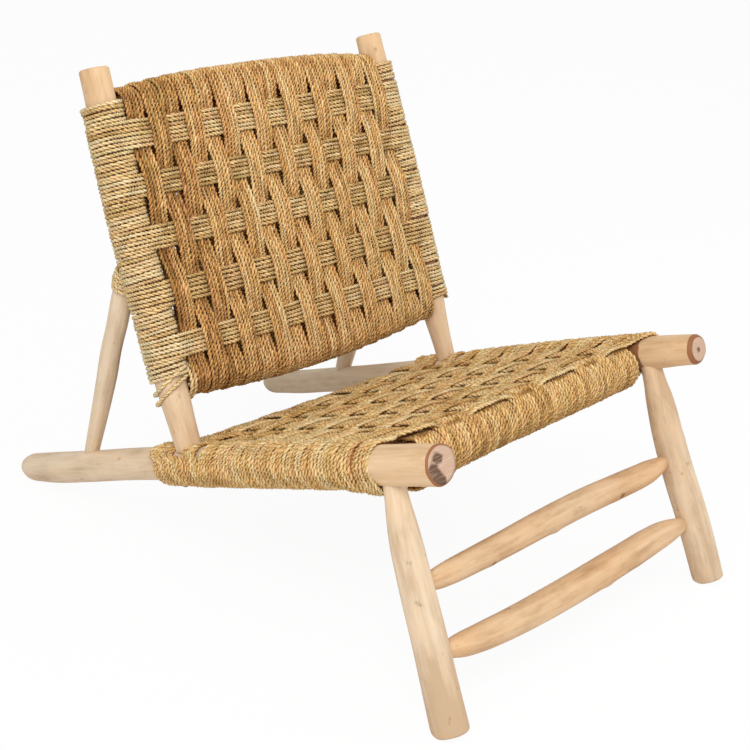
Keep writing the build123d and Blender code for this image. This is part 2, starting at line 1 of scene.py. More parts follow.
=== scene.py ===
"""Looks of a low lounge chair of peeled branches and wound rope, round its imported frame.

Lengths are in millimetres in the maker's frame until a mesh is written: X across the
chair, Y from the rails' front faces towards the back, Z up from the floor. A point on the
seat is given as (x, run down the rails, height over the rails' centre lines), a point on
the back as (x, drop down the posts, distance before the posts' centre lines).
"""

import logging
import math
from dataclasses import dataclass, field
from enum import Enum
from typing import Any, Callable, Dict, List, Optional, Sequence, Tuple, Union

import bpy
import numpy as np
from mathutils import Matrix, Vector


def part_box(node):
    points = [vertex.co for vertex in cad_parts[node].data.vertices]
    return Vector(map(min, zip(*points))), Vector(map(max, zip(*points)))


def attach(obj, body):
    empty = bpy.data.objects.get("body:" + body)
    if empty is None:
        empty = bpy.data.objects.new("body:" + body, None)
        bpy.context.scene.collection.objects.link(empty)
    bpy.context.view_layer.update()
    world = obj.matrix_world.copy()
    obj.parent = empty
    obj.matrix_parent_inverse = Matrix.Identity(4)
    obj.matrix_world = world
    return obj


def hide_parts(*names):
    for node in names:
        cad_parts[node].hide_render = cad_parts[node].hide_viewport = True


Array = np.ndarray
Value = Union["Wire", bpy.types.NodeSocket, float, Sequence[float], Array]
Inputs = Dict[Union[str, int], Value]
Owner = Union[bpy.types.Material, bpy.types.World]
Colour = Tuple[float, float, float]
Course = Sequence[Tuple[float, float]]

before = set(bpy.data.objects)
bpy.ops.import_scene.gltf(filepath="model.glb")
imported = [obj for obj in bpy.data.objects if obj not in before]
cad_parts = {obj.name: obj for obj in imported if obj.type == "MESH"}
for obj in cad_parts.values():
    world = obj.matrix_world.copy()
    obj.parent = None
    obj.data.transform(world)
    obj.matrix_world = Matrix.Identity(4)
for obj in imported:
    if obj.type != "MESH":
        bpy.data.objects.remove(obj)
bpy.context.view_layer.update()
LOG = logging.getLogger("chair")

MM = 0.001
BODY = "root"
ACROSS_X = np.array([1.0, 0.0, 0.0])
UP_Z = np.array([0.0, 0.0, 1.0])

# The seat as the frame has it: its slope, the heights of its two layers of rope and of the
# bars over the rails' centre lines, and how far down the rails the bars lie.
RAIL_X = 275.0
SEAT_TILT = math.radians(20.84)
SEAT_UP = np.array([0.0, math.sin(SEAT_TILT), math.cos(SEAT_TILT)])
SEAT_RUN = np.array([0.0, math.cos(SEAT_TILT), -math.sin(SEAT_TILT)])
SEAT_LEVEL = 17.25
SEAT_UNDER = -40.25
SEAT_BAR_HEIGHT = -11.5
FRONT_BAR_RUN = 116.4
REAR_BAR_RUN = 561.4

# The back as the frame has it: its slope, and how far its rope lies before and behind the
# posts' centre lines.
RECLINE = math.radians(22.6)
BACK_FRONT = np.array([0.0, -math.cos(RECLINE), math.sin(RECLINE)])
BACK_DOWN = np.array([0.0, -math.sin(RECLINE), -math.cos(RECLINE)])
BACK_LEVEL = 26.0

# Half a cord's thickness, and how far one turn of rope on wood lies from the next.
CORD = 2.8
TURN = 5.75


class Side(Enum):
    """The two sides of the chair, as seen by someone who stands before it."""

    LEFT = "left"
    RIGHT = "right"

    @property
    def sign(self) -> float:
        """-1 on the left, 1 on the right."""
        return -1.0 if self is Side.LEFT else 1.0


class Fibre(Enum):
    """The record's slots for wood and rope."""

    PALE_WOOD = "pale_wood"
    TAN_WOOD = "tan_wood"
    WARP_ROPE = "warp_rope"
    STRAW_ROPE = "straw_rope"
    SEAT_ROPE = "seat_rope"


# --- lines ------------------------------------------------------------------------------
def unit(vectors: Array) -> Array:
    """Vectors scaled to length one along their last axis."""
    return vectors / np.linalg.norm(vectors, axis=-1, keepdims=True)


def lengths(points: Array) -> Array:
    """Length along a line of points, from its first one."""
    steps = np.linalg.norm(np.diff(points, axis=0), axis=1)
    return np.concatenate([[0.0], np.cumsum(steps)])


def sampled(line: Array, at: Array, wanted: Array) -> Array:
    """A line read off at wanted lengths.

    Args:
        line: Points or slopes, one row for each length in `at`.
        at: Length along the line at each row.
        wanted: Lengths to read off.

    Returns:
        One row for each wanted length.
    """
    return np.stack([np.interp(wanted, at, column) for column in line.T], axis=-1)


def graded(course: Course, wanted: Union[Array, float]) -> Union[Array, float]:
    """A course of (length, value) pairs read off at wanted lengths, straight between pairs."""
    return np.interp(wanted, *zip(*course))


def evenly(points: Array, spacing: float) -> Array:
    """The same line at equal steps.

    Args:
        points: A line of points, one row each.
        spacing: Wanted step, rounded so that a whole number of steps fits.

    Returns:
        The line's points at equal lengths, both ends kept.
    """
    along = lengths(points)
    count = max(2, int(round(along[-1] / spacing)) + 1)
    return sampled(points, along, np.linspace(0.0, along[-1], count))


def through(points: Sequence[Sequence[float]], spacing: float, closed: bool = False) -> Array:
    """Smooth line through points: a cubic per span whose ends share one slope.

    The slope at a point is the mean of its two chords' slopes, weighted by their lengths.

    Args:
        points: The points in order.
        spacing: Step of the finished line.
        closed: Whether the line returns to its first point.

    Returns:
        The line at equal steps. A closed line ends on its first point.
    """
    knots = np.asarray(points, float)
    count, wrap = len(knots), 3
    if closed:
        knots = np.vstack([knots[-wrap:], knots, knots[:wrap + 1]])
    at = lengths(knots)
    slopes = np.gradient(knots, at, axis=0)
    first, last = (at[wrap], at[wrap + count]) if closed else (at[0], at[-1])
    fine = np.linspace(first, last, max(8, int((last - first) / spacing) * 4))
    span = np.clip(np.searchsorted(at, fine, side="right") - 1, 0, len(at) - 2)
    width = (at[span + 1] - at[span])[:, None]
    u = (fine[:, None] - at[span][:, None]) / width
    line = (
        (2 * u**3 - 3 * u**2 + 1) * knots[span]
        + (u**3 - 2 * u**2 + u) * width * slopes[span]
        + (3 * u**2 - 2 * u**3) * knots[span + 1]
        + (u**3 - u**2) * width * slopes[span + 1]
    )
    return evenly(line, spacing)


def wander(along: Array, seed: float, reach: float, wave: float) -> Array:
    """Slow sideways drift: three sine waves of unlike length, added.

    Each wave's start is the broken part of a large multiple of a sine of the seed.

    Args:
        along: Length along the cord.
        seed: A number that sets the waves' starts.
        reach: Largest drift.
        wave: Length of the longest wave.

    Returns:
        The drift at each length.
    """
    starts = np.sin(seed * np.array([12.9898, 78.233, 37.719])) * 43758.5453 % 1.0
    total = np.zeros_like(along)
    for start, stretch, weight in zip(starts, (1.0, 0.437, 0.219), (0.5, 0.32, 0.18)):
        total += weight * np.sin(2 * np.pi * (along / (wave * stretch) + start))
    return reach * total


def ease(value: Array, low: float, high: float) -> Array:
    """0 below `low`, 1 above `high`, smooth between."""
    share = np.clip((value - low) / (high - low), 0.0, 1.0)
    return share * share * (3 - 2 * share)


# --- where things lie -------------------------------------------------------------------
RAIL_LINES = {
    Side.LEFT: [(-276.5, -1.5, 343.5), (-276.5, 32.6, 330.9), (-276.3, 89.7, 309.3), (-273.5, 330, 221.0),
                (-271.0, 562, 135.8), (-268.5, 715.5, 75.2), (-267.2, 798.6, 42.0), (-266.6, 842, 26.0),
                (-266.4, 869, 17.2), (-266.2, 894, 12.5)],
    Side.RIGHT: [(275.2, 1.5, 350.6), (275.0, 31.5, 340.1), (274.7, 55.5, 330.9), (272.5, 330, 224.5),
                 (270.3, 560, 135.5), (268.0, 737, 70.0), (266.5, 807, 44.5), (266.0, 847, 31.0),
                 (265.5, 871, 23.0), (265.2, 900, 15.0)],
}
POST_LINES = {
    Side.LEFT: [(-268.7, 674.2, 694.5), (-269.0, 639.5, 598.0), (-269.4, 601.0, 491.0),
                (-269.8, 539.0, 347.0), (-270.2, 496.0, 249.5), (-270.6, 468.0, 191.0)],
    Side.RIGHT: [(269.0, 675.3, 693.3), (269.6, 636.0, 597.0), (270.4, 593.0, 490.0),
                 (271.4, 532.5, 347.0), (272.2, 489.5, 248.0), (272.8, 462.5, 188.0)],
}


@dataclass(frozen=True)
class Sheet:
    """A pair of side branches with rope between them, as a surface to place points on."""

    left: Array
    right: Array
    normal: Array
    slack: float = 0.0

    def place(self, x: Array, along: Array, height: Array) -> Array:
        """Points over the sheet.

        Between the branches the point is the straight mix of the two branches' points at
        that length, then it moves along the sheet's normal.

        Args:
            x: Place across the chair.
            along: Length along the branches.
            height: Height over the branches' centre lines.

        Returns:
            The points, one row each.
        """
        left, right = (sampled(line, lengths(line), along) for line in (self.left, self.right))
        share = (x - left[..., 0]) / (right[..., 0] - left[..., 0])
        base = left + (right - left) * share[..., None]
        sag = self.slack * np.clip(4 * share * (1 - share), 0, 1)
        return base + self.normal * (height - sag)[..., None]


RAIL_SMOOTH = {side: through(points, 4.0) for side, points in RAIL_LINES.items()}
POST_SMOOTH = {side: through(points, 4.0) for side, points in POST_LINES.items()}
SEAT = Sheet(RAIL_SMOOTH[Side.LEFT], RAIL_SMOOTH[Side.RIGHT], SEAT_UP, slack=2.5)
BACK = Sheet(POST_SMOOTH[Side.LEFT], POST_SMOOTH[Side.RIGHT], BACK_FRONT)


def frame_shift() -> float:
    """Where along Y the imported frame's origin lies, found from the left rail's foremost point.

    That point is the lowest one of the rail's flat front face, and Y is 0 at its middle.

    Returns:
        Millimetres in the maker's frame.
    """
    face_radius = 21.5
    return -face_radius * math.sin(SEAT_TILT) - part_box("left_seat_rail")[0].y / MM


SHIFT = frame_shift()


def to_frame(points: Array) -> Array:
    """Maker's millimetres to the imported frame's metres."""
    return (points - np.array([0.0, SHIFT, 0.0])) * MM


# --- meshes -----------------------------------------------------------------------------
@dataclass
class Surface:
    """Vertices, triangles and per-vertex marks, gathered part by part."""

    points: List[Array] = field(default_factory=list)
    faces: List[Array] = field(default_factory=list)
    marks: Dict[str, List[Array]] = field(default_factory=dict)
    count: int = 0

    def add(self, points: Array, faces: Array, marks: Dict[str, Array]) -> None:
        """Adds a part with its own numbering of vertices.

        Args:
            points: Its vertices, one row each.
            faces: Its triangles, three vertex numbers each.
            marks: Values for each vertex by the mark's name.
        """
        self.points.append(points)
        self.faces.append(faces + self.count)
        self.count += len(points)
        for name, values in marks.items():
            self.marks.setdefault(name, []).append(values)

    def build(self, name: str, material: bpy.types.Material) -> bpy.types.Object:
        """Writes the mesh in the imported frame.

        Args:
            name: Name of the object.
            material: Its finish.

        Returns:
            The finished object, at the origin.
        """
        points = to_frame(np.concatenate(self.points)).astype(np.float32)
        faces = np.concatenate(self.faces).astype(np.int32)
        mesh = bpy.data.meshes.new(name)
        mesh.vertices.add(len(points))
        mesh.vertices.foreach_set("co", points.ravel())
        mesh.loops.add(faces.size)
        mesh.loops.foreach_set("vertex_index", faces.ravel())
        mesh.polygons.add(len(faces))
        mesh.polygons.foreach_set("loop_start", np.arange(0, faces.size, 3, dtype=np.int32))
        mesh.polygons.foreach_set("use_smooth", np.ones(len(faces), bool))
        for mark, parts in self.marks.items():
            values = np.concatenate(parts).astype(np.float32)
            kind, key = ("FLOAT_VECTOR", "vector") if values.ndim == 2 else ("FLOAT", "value")
            mesh.attributes.new(mark, kind, "POINT").data.foreach_set(key, values.ravel())
        mesh.update(calc_edges=True)
        mesh.validate()
        mesh.materials.append(material)
        piece = bpy.data.objects.new(name, mesh)
        bpy.context.scene.collection.objects.link(piece)
        return piece


def ring_points(centres: Array, across: Array, other: Array, radius: Array, turn: Array) -> Array:
    """Points on rings round a line.

    A point is its ring's centre, plus the cosine of its turn times its radius along
    `across`, plus the sine of its turn times its radius along `other`.

    Args:
        centres: Middle of each ring.
        across: Way to a turn of zero, for each ring.
        other: Way to a quarter turn, for each ring.
        radius: Distance of each point from its centre, one row for each ring.
        turn: Angle of each point.

    Returns:
        The points by ring and column.
    """
    return (
        centres[:, None, :]
        + (radius * np.cos(turn))[..., None] * across[:, None, :]
        + (radius * np.sin(turn))[..., None] * other[:, None, :]
    )


def tube_faces(rings: int, columns: int) -> Array:
    """Triangles of a tube of rings, closed at each end by a fan.

    Args:
        rings: How many rings.
        columns: Points in each ring.

    Returns:
        One row of three vertex numbers per triangle, facing outwards.
    """
    ring = np.arange(rings - 1)[:, None] * columns
    here = np.arange(columns)[None, :]
    after = (here + 1) % columns
    a, b, c, d = ring + here, ring + after, ring + columns + after, ring + columns + here
    sides = [np.stack(corners, axis=-1).reshape(-1, 3) for corners in ((a, b, d), (b, c, d))]
    rest = np.arange(1, columns - 1)
    fan = np.stack([np.zeros_like(rest), rest, rest + 1], axis=1)
    return np.concatenate([*sides, fan[:, ::-1], fan + (rings - 1) * columns])


@dataclass
class Twine:
    """Two-ply twisted cord, swept along lines.

    A ring has six points: two crowns on opposite sides, one for each ply, and four flanks
    beside the grooves. Rings turn once in `pitch`, a little faster and slower along the
    way, and each point is joined to its own follower, so the plies are right-hand helices.
    `uneven` is how much the cord swells and shrinks along its length.
    """

    crown: float = 3.5
    flank: float = 2.3
    step: float = 2.2
    pitch: float = 13.4
    uneven: float = 0.10

    def sweep(self, surface: Surface, line: Array, across: Array, tone: Array, seed: float,
              girth: Union[Array, float] = 1.0) -> None:
        """Adds one length of cord.

        Args:
            surface: What the cord is added to.
            line: The cord's middle at equal steps of about `step`.
            across: The way to the next turn at each point, or one for all.
            tone: The cord's shade at each point, 0 to 1.
            seed: A number that sets the lay's start and the cord's small swellings.
            girth: Scale of the cord's thickness at each point, or one for all.
        """
        tangent = unit(np.gradient(line, axis=0))
        across = np.broadcast_to(across, line.shape)
        across = unit(across - tangent * np.sum(across * tangent, axis=1, keepdims=True))
        out = np.cross(across, tangent)
        count = len(line)
        around = np.pi / 3 * np.arange(6)
        along = np.arange(count) * self.step
        twist = 2 * np.pi * along / self.pitch + 7 * seed + wander(along, seed + 2, 2.6, 143.0)
        long_lumps = wander(along, seed, self.uneven, 61.0)
        swell = girth * (1.0 + long_lumps + wander(along, seed + 5, self.uneven, 17.0))
        profile = np.array([self.crown, self.flank, self.flank] * 2)
        radius = profile[None, :] * np.broadcast_to(swell, (count,))[:, None]
        points = ring_points(line, across, out, radius, around[None, :] - twist[:, None])
        fixed = np.broadcast_to(around, radius.shape)
        start = np.broadcast_to(along[:, None] + 977 * seed, fixed.shape)
        marks = {
            "lay": np.stack([start, np.cos(fixed), np.sin(fixed)], axis=-1).reshape(-1, 3),
            "tone": np.repeat(tone, 6),
        }
        surface.add(points.reshape(-1, 3), tube_faces(count, 6), marks)


TWINE = Twine()


# --- shader graphs ----------------------------------------------------------------------
class Wire:
    """A value in a shader graph, with arithmetic."""

    def __init__(self, graph: "Graph", socket: bpy.types.NodeSocket) -> None:
        """Wraps a node's output."""
        self.graph = graph
        self.socket = socket

    def __add__(self, other: Value) -> "Wire":
        """Sum."""
        return self.graph.maths("ADD", self, other)

    def __radd__(self, other: Value) -> "Wire":
        """Sum, from the left."""
        return self.graph.maths("ADD", other, self)

    def __sub__(self, other: Value) -> "Wire":
        """Difference."""
        return self.graph.maths("SUBTRACT", self, other)

    def __rsub__(self, other: Value) -> "Wire":
        """Difference, from the left."""
        return self.graph.maths("SUBTRACT", other, self)

    def __mul__(self, other: Value) -> "Wire":
        """Product."""
        return self.graph.maths("MULTIPLY", self, other)

    def __rmul__(self, other: Value) -> "Wire":
        """Product, from the left."""
        return self.graph.maths("MULTIPLY", other, self)

    def band(self, low: float, high: float) -> "Wire":
        """0 below `low`, 1 above `high`, smooth between."""
        node = self.graph.node(
            "ShaderNodeMapRange", {"interpolation_type": "SMOOTHSTEP"},
            {"Value": self, "From Min": low, "From Max": high},
        )
        return Wire(self.graph, node.outputs["Result"])


class Graph:
    """The node graph of one material or world."""

    def __init__(self, owner: Owner) -> None:
        """Empties the owner's graph.

        Args:
            owner: The material or world that is drawn.
        """
        owner.use_nodes = True
        self.owner = owner
        self.tree = owner.node_tree
        self.tree.nodes.clear()

    def node(self, kind: str, settings: Dict[str, Any], inputs: Inputs) -> bpy.types.Node:
        """Adds a node.

        Args:
            kind: Blender's name of the node type.
            settings: Attributes set first. "stops" holds a ramp's positions and colours.
            inputs: Values or links by socket name or number.

        Returns:
            The node.
        """
        node = self.tree.nodes.new(kind)
        for key, value in settings.items():
            if key == "stops":
                ramp = node.color_ramp.elements
                while len(ramp) < len(value):
                    ramp.new(0.5)
                for element, (position, colour) in zip(ramp, value):
                    element.position = position
                    element.color = (*colour, 1.0)
            else:
                setattr(node, key, value)
        for key, value in inputs.items():
            socket = node.inputs[key]
            if isinstance(value, Wire):
                self.tree.links.new(value.socket, socket)
            elif isinstance(value, bpy.types.NodeSocket):
                self.tree.links.new(value, socket)
            else:
                socket.default_value = value
        return node

    def maths(self, operation: str, first: Value, second: Value = 0.0) -> Wire:
        """A Math node on one or two values."""
        node = self.node("ShaderNodeMath", {"operation": operation}, {0: first, 1: second})
        return Wire(self, node.outputs[0])

    def mark(self, name: str, vector: bool = False) -> Wire:
        """A per-vertex mark of the piece."""
        node = self.node("ShaderNodeAttribute", {"attribute_name": name}, {})
        return Wire(self, node.outputs["Vector" if vector else "Fac"])

    def object_place(self) -> Wire:
        """The point in the object's own metres."""
        return Wire(self, self.node("ShaderNodeTexCoord", {}, {}).outputs["Object"])

    def stretched(self, vector: Wire, scale: Sequence[float]) -> Wire:
        """A vector multiplied part by part."""
        node = self.node("ShaderNodeVectorMath", {"operation": "MULTIPLY"}, {0: vector, 1: scale})
        return Wire(self, node.outputs[0])

    def noise(self, vector: Wire, scale: float, detail: float = 3.0, rough: float = 0.55) -> Wire:
        """Cloudy noise, 0 to 1."""
        node = self.node(
            "ShaderNodeTexNoise", {},
            {"Vector": vector, "Scale": scale, "Detail": detail, "Roughness": rough},
        )
        return Wire(self, node.outputs["Fac"])

    def ramp(self, value: Wire, stops: Sequence[Tuple[float, Sequence[float]]]) -> Wire:
        """Colours by value."""
        return Wire(self, self.node("ShaderNodeValToRGB", {"stops": stops}, {"Fac": value}).outputs["Color"])

    def mixed(self, share: Value, first: Value, second: Value, blend: str = "MIX") -> Wire:
        """Mix of two colours."""
        node = self.node(
            "ShaderNodeMix", {"data_type": "RGBA", "blend_type": blend},
            {0: share, 6: rgba(first), 7: rgba(second)},
        )
        return Wire(self, node.outputs[2])

    def bump(self, height: Wire, depth: float, strength: float) -> Wire:
        """A normal from a height of 0 to 1 that is `depth` millimetres deep."""
        inputs: Inputs = {"Height": height, "Distance": depth * MM, "Strength": strength}
        return Wire(self, self.node("ShaderNodeBump", {}, inputs).outputs["Normal"])

    def finish(self, inputs: Inputs) -> bpy.types.Material:
        """Closes the graph with a Principled shader.

        Args:
            inputs: Values or links by the shader's socket names.

        Returns:
            The finished material.
        """
        shader = self.node("ShaderNodeBsdfPrincipled", {}, inputs)
        self.node("ShaderNodeOutputMaterial", {}, {"Surface": shader.outputs["BSDF"]})
        return self.owner


def rgba(colour: Value) -> Value:
    """A plain colour gets its fourth number, a link stays."""
    if isinstance(colour, (Wire, bpy.types.NodeSocket)):
        return colour
    return (*colour, 1.0) if len(colour) == 3 else colour


# --- finishes ---------------------------------------------------------------------------
@dataclass(frozen=True)
class RopeFinish:
    """Dry twisted plant fibre: the colour goes from dull to bright with the cord's tone."""

    name: str
    dull: Colour
    plain: Colour
    bright: Colour
    green: Colour
    pink: Colour
    # Painted shade: near-black brown laid into the grooves between the plies.
    groove_shade: Colour = (0.085, 0.036, 0.010)

    def material(self) -> bpy.types.Material:
        """Builds the material from the cord's lay and tone marks.

        The lay holds the length along the cord and the cosine and sine of the angle from
        the plies' line, so the cosine is 1 or -1 on the crowns and 0 in the grooves.

        Returns:
            The material.
        """
        graph = Graph(bpy.data.materials.new(self.name))
        lay = graph.mark("lay", vector=True)
        cosine = Wire(graph, graph.node("ShaderNodeSeparateXYZ", {}, {"Vector": lay}).outputs["Y"])
        crown = graph.maths("ABSOLUTE", cosine)
        fibres = graph.noise(graph.stretched(lay, (0.14, 2.6, 2.6)), 1.0, 4.0, 0.62)
        strands = graph.noise(graph.stretched(lay, (0.05, 0.8, 0.8)), 1.0, 2.0)
        hue = graph.noise(graph.stretched(lay, (0.006, 0.3, 0.3)), 1.0, 1.0)
        # Painted light: ply crowns come out lighter; the tone mark also carries painted shade.
        shade = graph.mark("tone") * 0.75 + strands * 0.9 + fibres * 1.2 + crown * 0.5 - 1.25
        colour = graph.ramp(shade, [(0.08, self.dull), (0.45, self.plain), (0.88, self.bright)])
        colour = graph.mixed(hue.band(0.54, 0.7) * 0.55, colour, self.pink)
        colour = graph.mixed((1.0 - hue).band(0.55, 0.7) * 0.45, colour, self.green)
        # Painted shade: the grooves between the plies are darkened towards the groove colour.
        colour = graph.mixed((1.0 - crown).band(0.45, 0.95) * 0.5, colour, self.groove_shade)
        relief = graph.bump(fibres, 0.9, 0.8)
        return graph.finish({
            "Base Color": colour, "Roughness": 0.95 - fibres * 0.12,
            "Normal": relief, "Specular IOR Level": 0.25,
        })


@dataclass(frozen=True)
class WoodFinish:
    """Peeled branch: grain streaks along it, warm stretches, knots, bark rims, sawn ends and painted shade.
    """

    name: str
    deep: Colour
    plain: Colour
    light: Colour
    warm: Colour = (1.0, 0.83, 0.64)
    knot: Colour = (0.16, 0.07, 0.03)
    # Dark brown of bark rims, also laid on stretches under rope as painted shade.
    bark_and_shade: Colour = (0.30, 0.12, 0.045)
    face: Colour = (0.55, 0.36, 0.25)
    stain: Colour = (0.09, 0.032, 0.01)
    contrast: float = 1.0

    def material(self) -> bpy.types.Material:
        """Builds the material from the branch's grain, warm, dim, knot, rim, cut and stain marks.

        Returns:
            The material.
        """
        graph = Graph(bpy.data.materials.new(self.name))
        grain = graph.mark("grain", vector=True)
        streaks = graph.noise(graph.stretched(grain, (0.007, 2.4, 2.4)), 1.0, 5.0, 0.62)
        fine = graph.noise(graph.stretched(grain, (0.03, 14.0, 14.0)), 1.0, 3.0)
        patches = graph.noise(graph.stretched(grain, (0.016, 0.9, 0.9)), 1.0, 3.0)
        cloudy = streaks * 0.8 + patches * 0.9 + fine * 0.3 - 1.0
        # Painted shade: a mark darkens the branch towards the deep colour where shade falls.
        shade = 0.5 + cloudy * self.contrast - graph.mark("dim")
        colour = graph.ramp(shade, [(0.2, self.deep), (0.5, self.plain), (0.8, self.light)])
        glow = graph.mark("warm") + patches.band(0.5, 0.68) * 0.35
        colour = graph.mixed(graph.maths("MINIMUM", glow, 1.0), colour, self.warm, "MULTIPLY")
        flecks = graph.noise(graph.stretched(grain, (0.05, 1.8, 1.8)), 1.0, 2.0).band(0.68, 0.76)
        colour = graph.mixed(flecks * 0.35, colour, self.knot)
        scar = graph.mark("knot")
        colour = graph.mixed((scar + (fine - 0.5) * 0.5).band(0.3, 0.95) * 0.85, colour, self.knot)
        # Bark rims, and painted shade on stretches under rope, both in the dark brown.
        rim = (graph.mark("rim") + (streaks - 0.5) * 1.2).band(0.3, 0.75)
        colour = graph.mixed(rim, colour, self.bark_and_shade)
        cut = graph.mark("cut")
        place = graph.object_place()
        cloud = graph.noise(place, 150.0, 3.0)
        saw = graph.noise(graph.stretched(place, (60.0, 60.0, 700.0)), 1.0, 2.0)
        amount = (graph.mark("stain") + (cloud - 0.5) * 0.9).band(0.2, 0.8) * 0.92
        face = graph.mixed(amount, self.face, self.stain)
        face = graph.mixed(saw.band(0.45, 0.75) * 0.25, face, self.light)
        colour = graph.mixed(cut, colour, face)
        relief = graph.bump(streaks * 0.7 + fine * 0.3 + saw * cut * 0.5, 0.8, 0.45)
        return graph.finish({
            "Base Color": colour, "Roughness": 0.64 - streaks * 0.12,
            "Normal": relief, "Specular IOR Level": 0.3,
        })


FINISHES = {
    Fibre.PALE_WOOD: WoodFinish(
        "peeled_pale", (0.55, 0.39, 0.245), (0.71, 0.552, 0.385), (0.79, 0.66, 0.50)
    ),
    Fibre.TAN_WOOD: WoodFinish(
        "peeled_tan", (0.43, 0.25, 0.12), (0.66, 0.45, 0.265), (0.77, 0.59, 0.41), contrast=0.85
    ),
    Fibre.WARP_ROPE: RopeFinish(
        "rope_warp", (0.38, 0.17, 0.045), (0.86, 0.475, 0.155), (0.99, 0.77, 0.41), (0.66, 0.50, 0.16),
        (0.90, 0.455, 0.21)
    ),
    Fibre.STRAW_ROPE: RopeFinish(
        "rope_straw", (0.52, 0.31, 0.105), (0.96, 0.645, 0.28), (0.99, 0.86, 0.55), (0.70, 0.59, 0.21),
        (0.98, 0.62, 0.36)
    ),
    Fibre.SEAT_ROPE: RopeFinish(
        "rope_seat", (0.40, 0.205, 0.055), (0.87, 0.505, 0.175), (0.99, 0.78, 0.42), (0.68, 0.50, 0.165),
        (0.92, 0.52, 0.27)
    ),
}
MATERIALS = {fibre: finish.material() for fibre, finish in FINISHES.items()}


def settle(piece: bpy.types.Object, fibre: Fibre, *nodes: str) -> None:
    """Lets a piece ride the frame in place of its nodes, and reports it.

    Args:
        piece: The finished object.
        fibre: The slot it belongs to.
        nodes: Names of the nodes that it replaces.
    """
    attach(piece, BODY)
    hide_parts(*nodes)
    LOG.info("%s: %d triangles, for %s", piece.name, len(piece.data.polygons), ", ".join(nodes))


# --- branches ---------------------------------------------------------------------------
@dataclass(frozen=True)
class Knot:
    """A raised or sunken scar on a branch."""

    along: float
    turn: float
    height: float
    size: float
    dark: float = 1.0


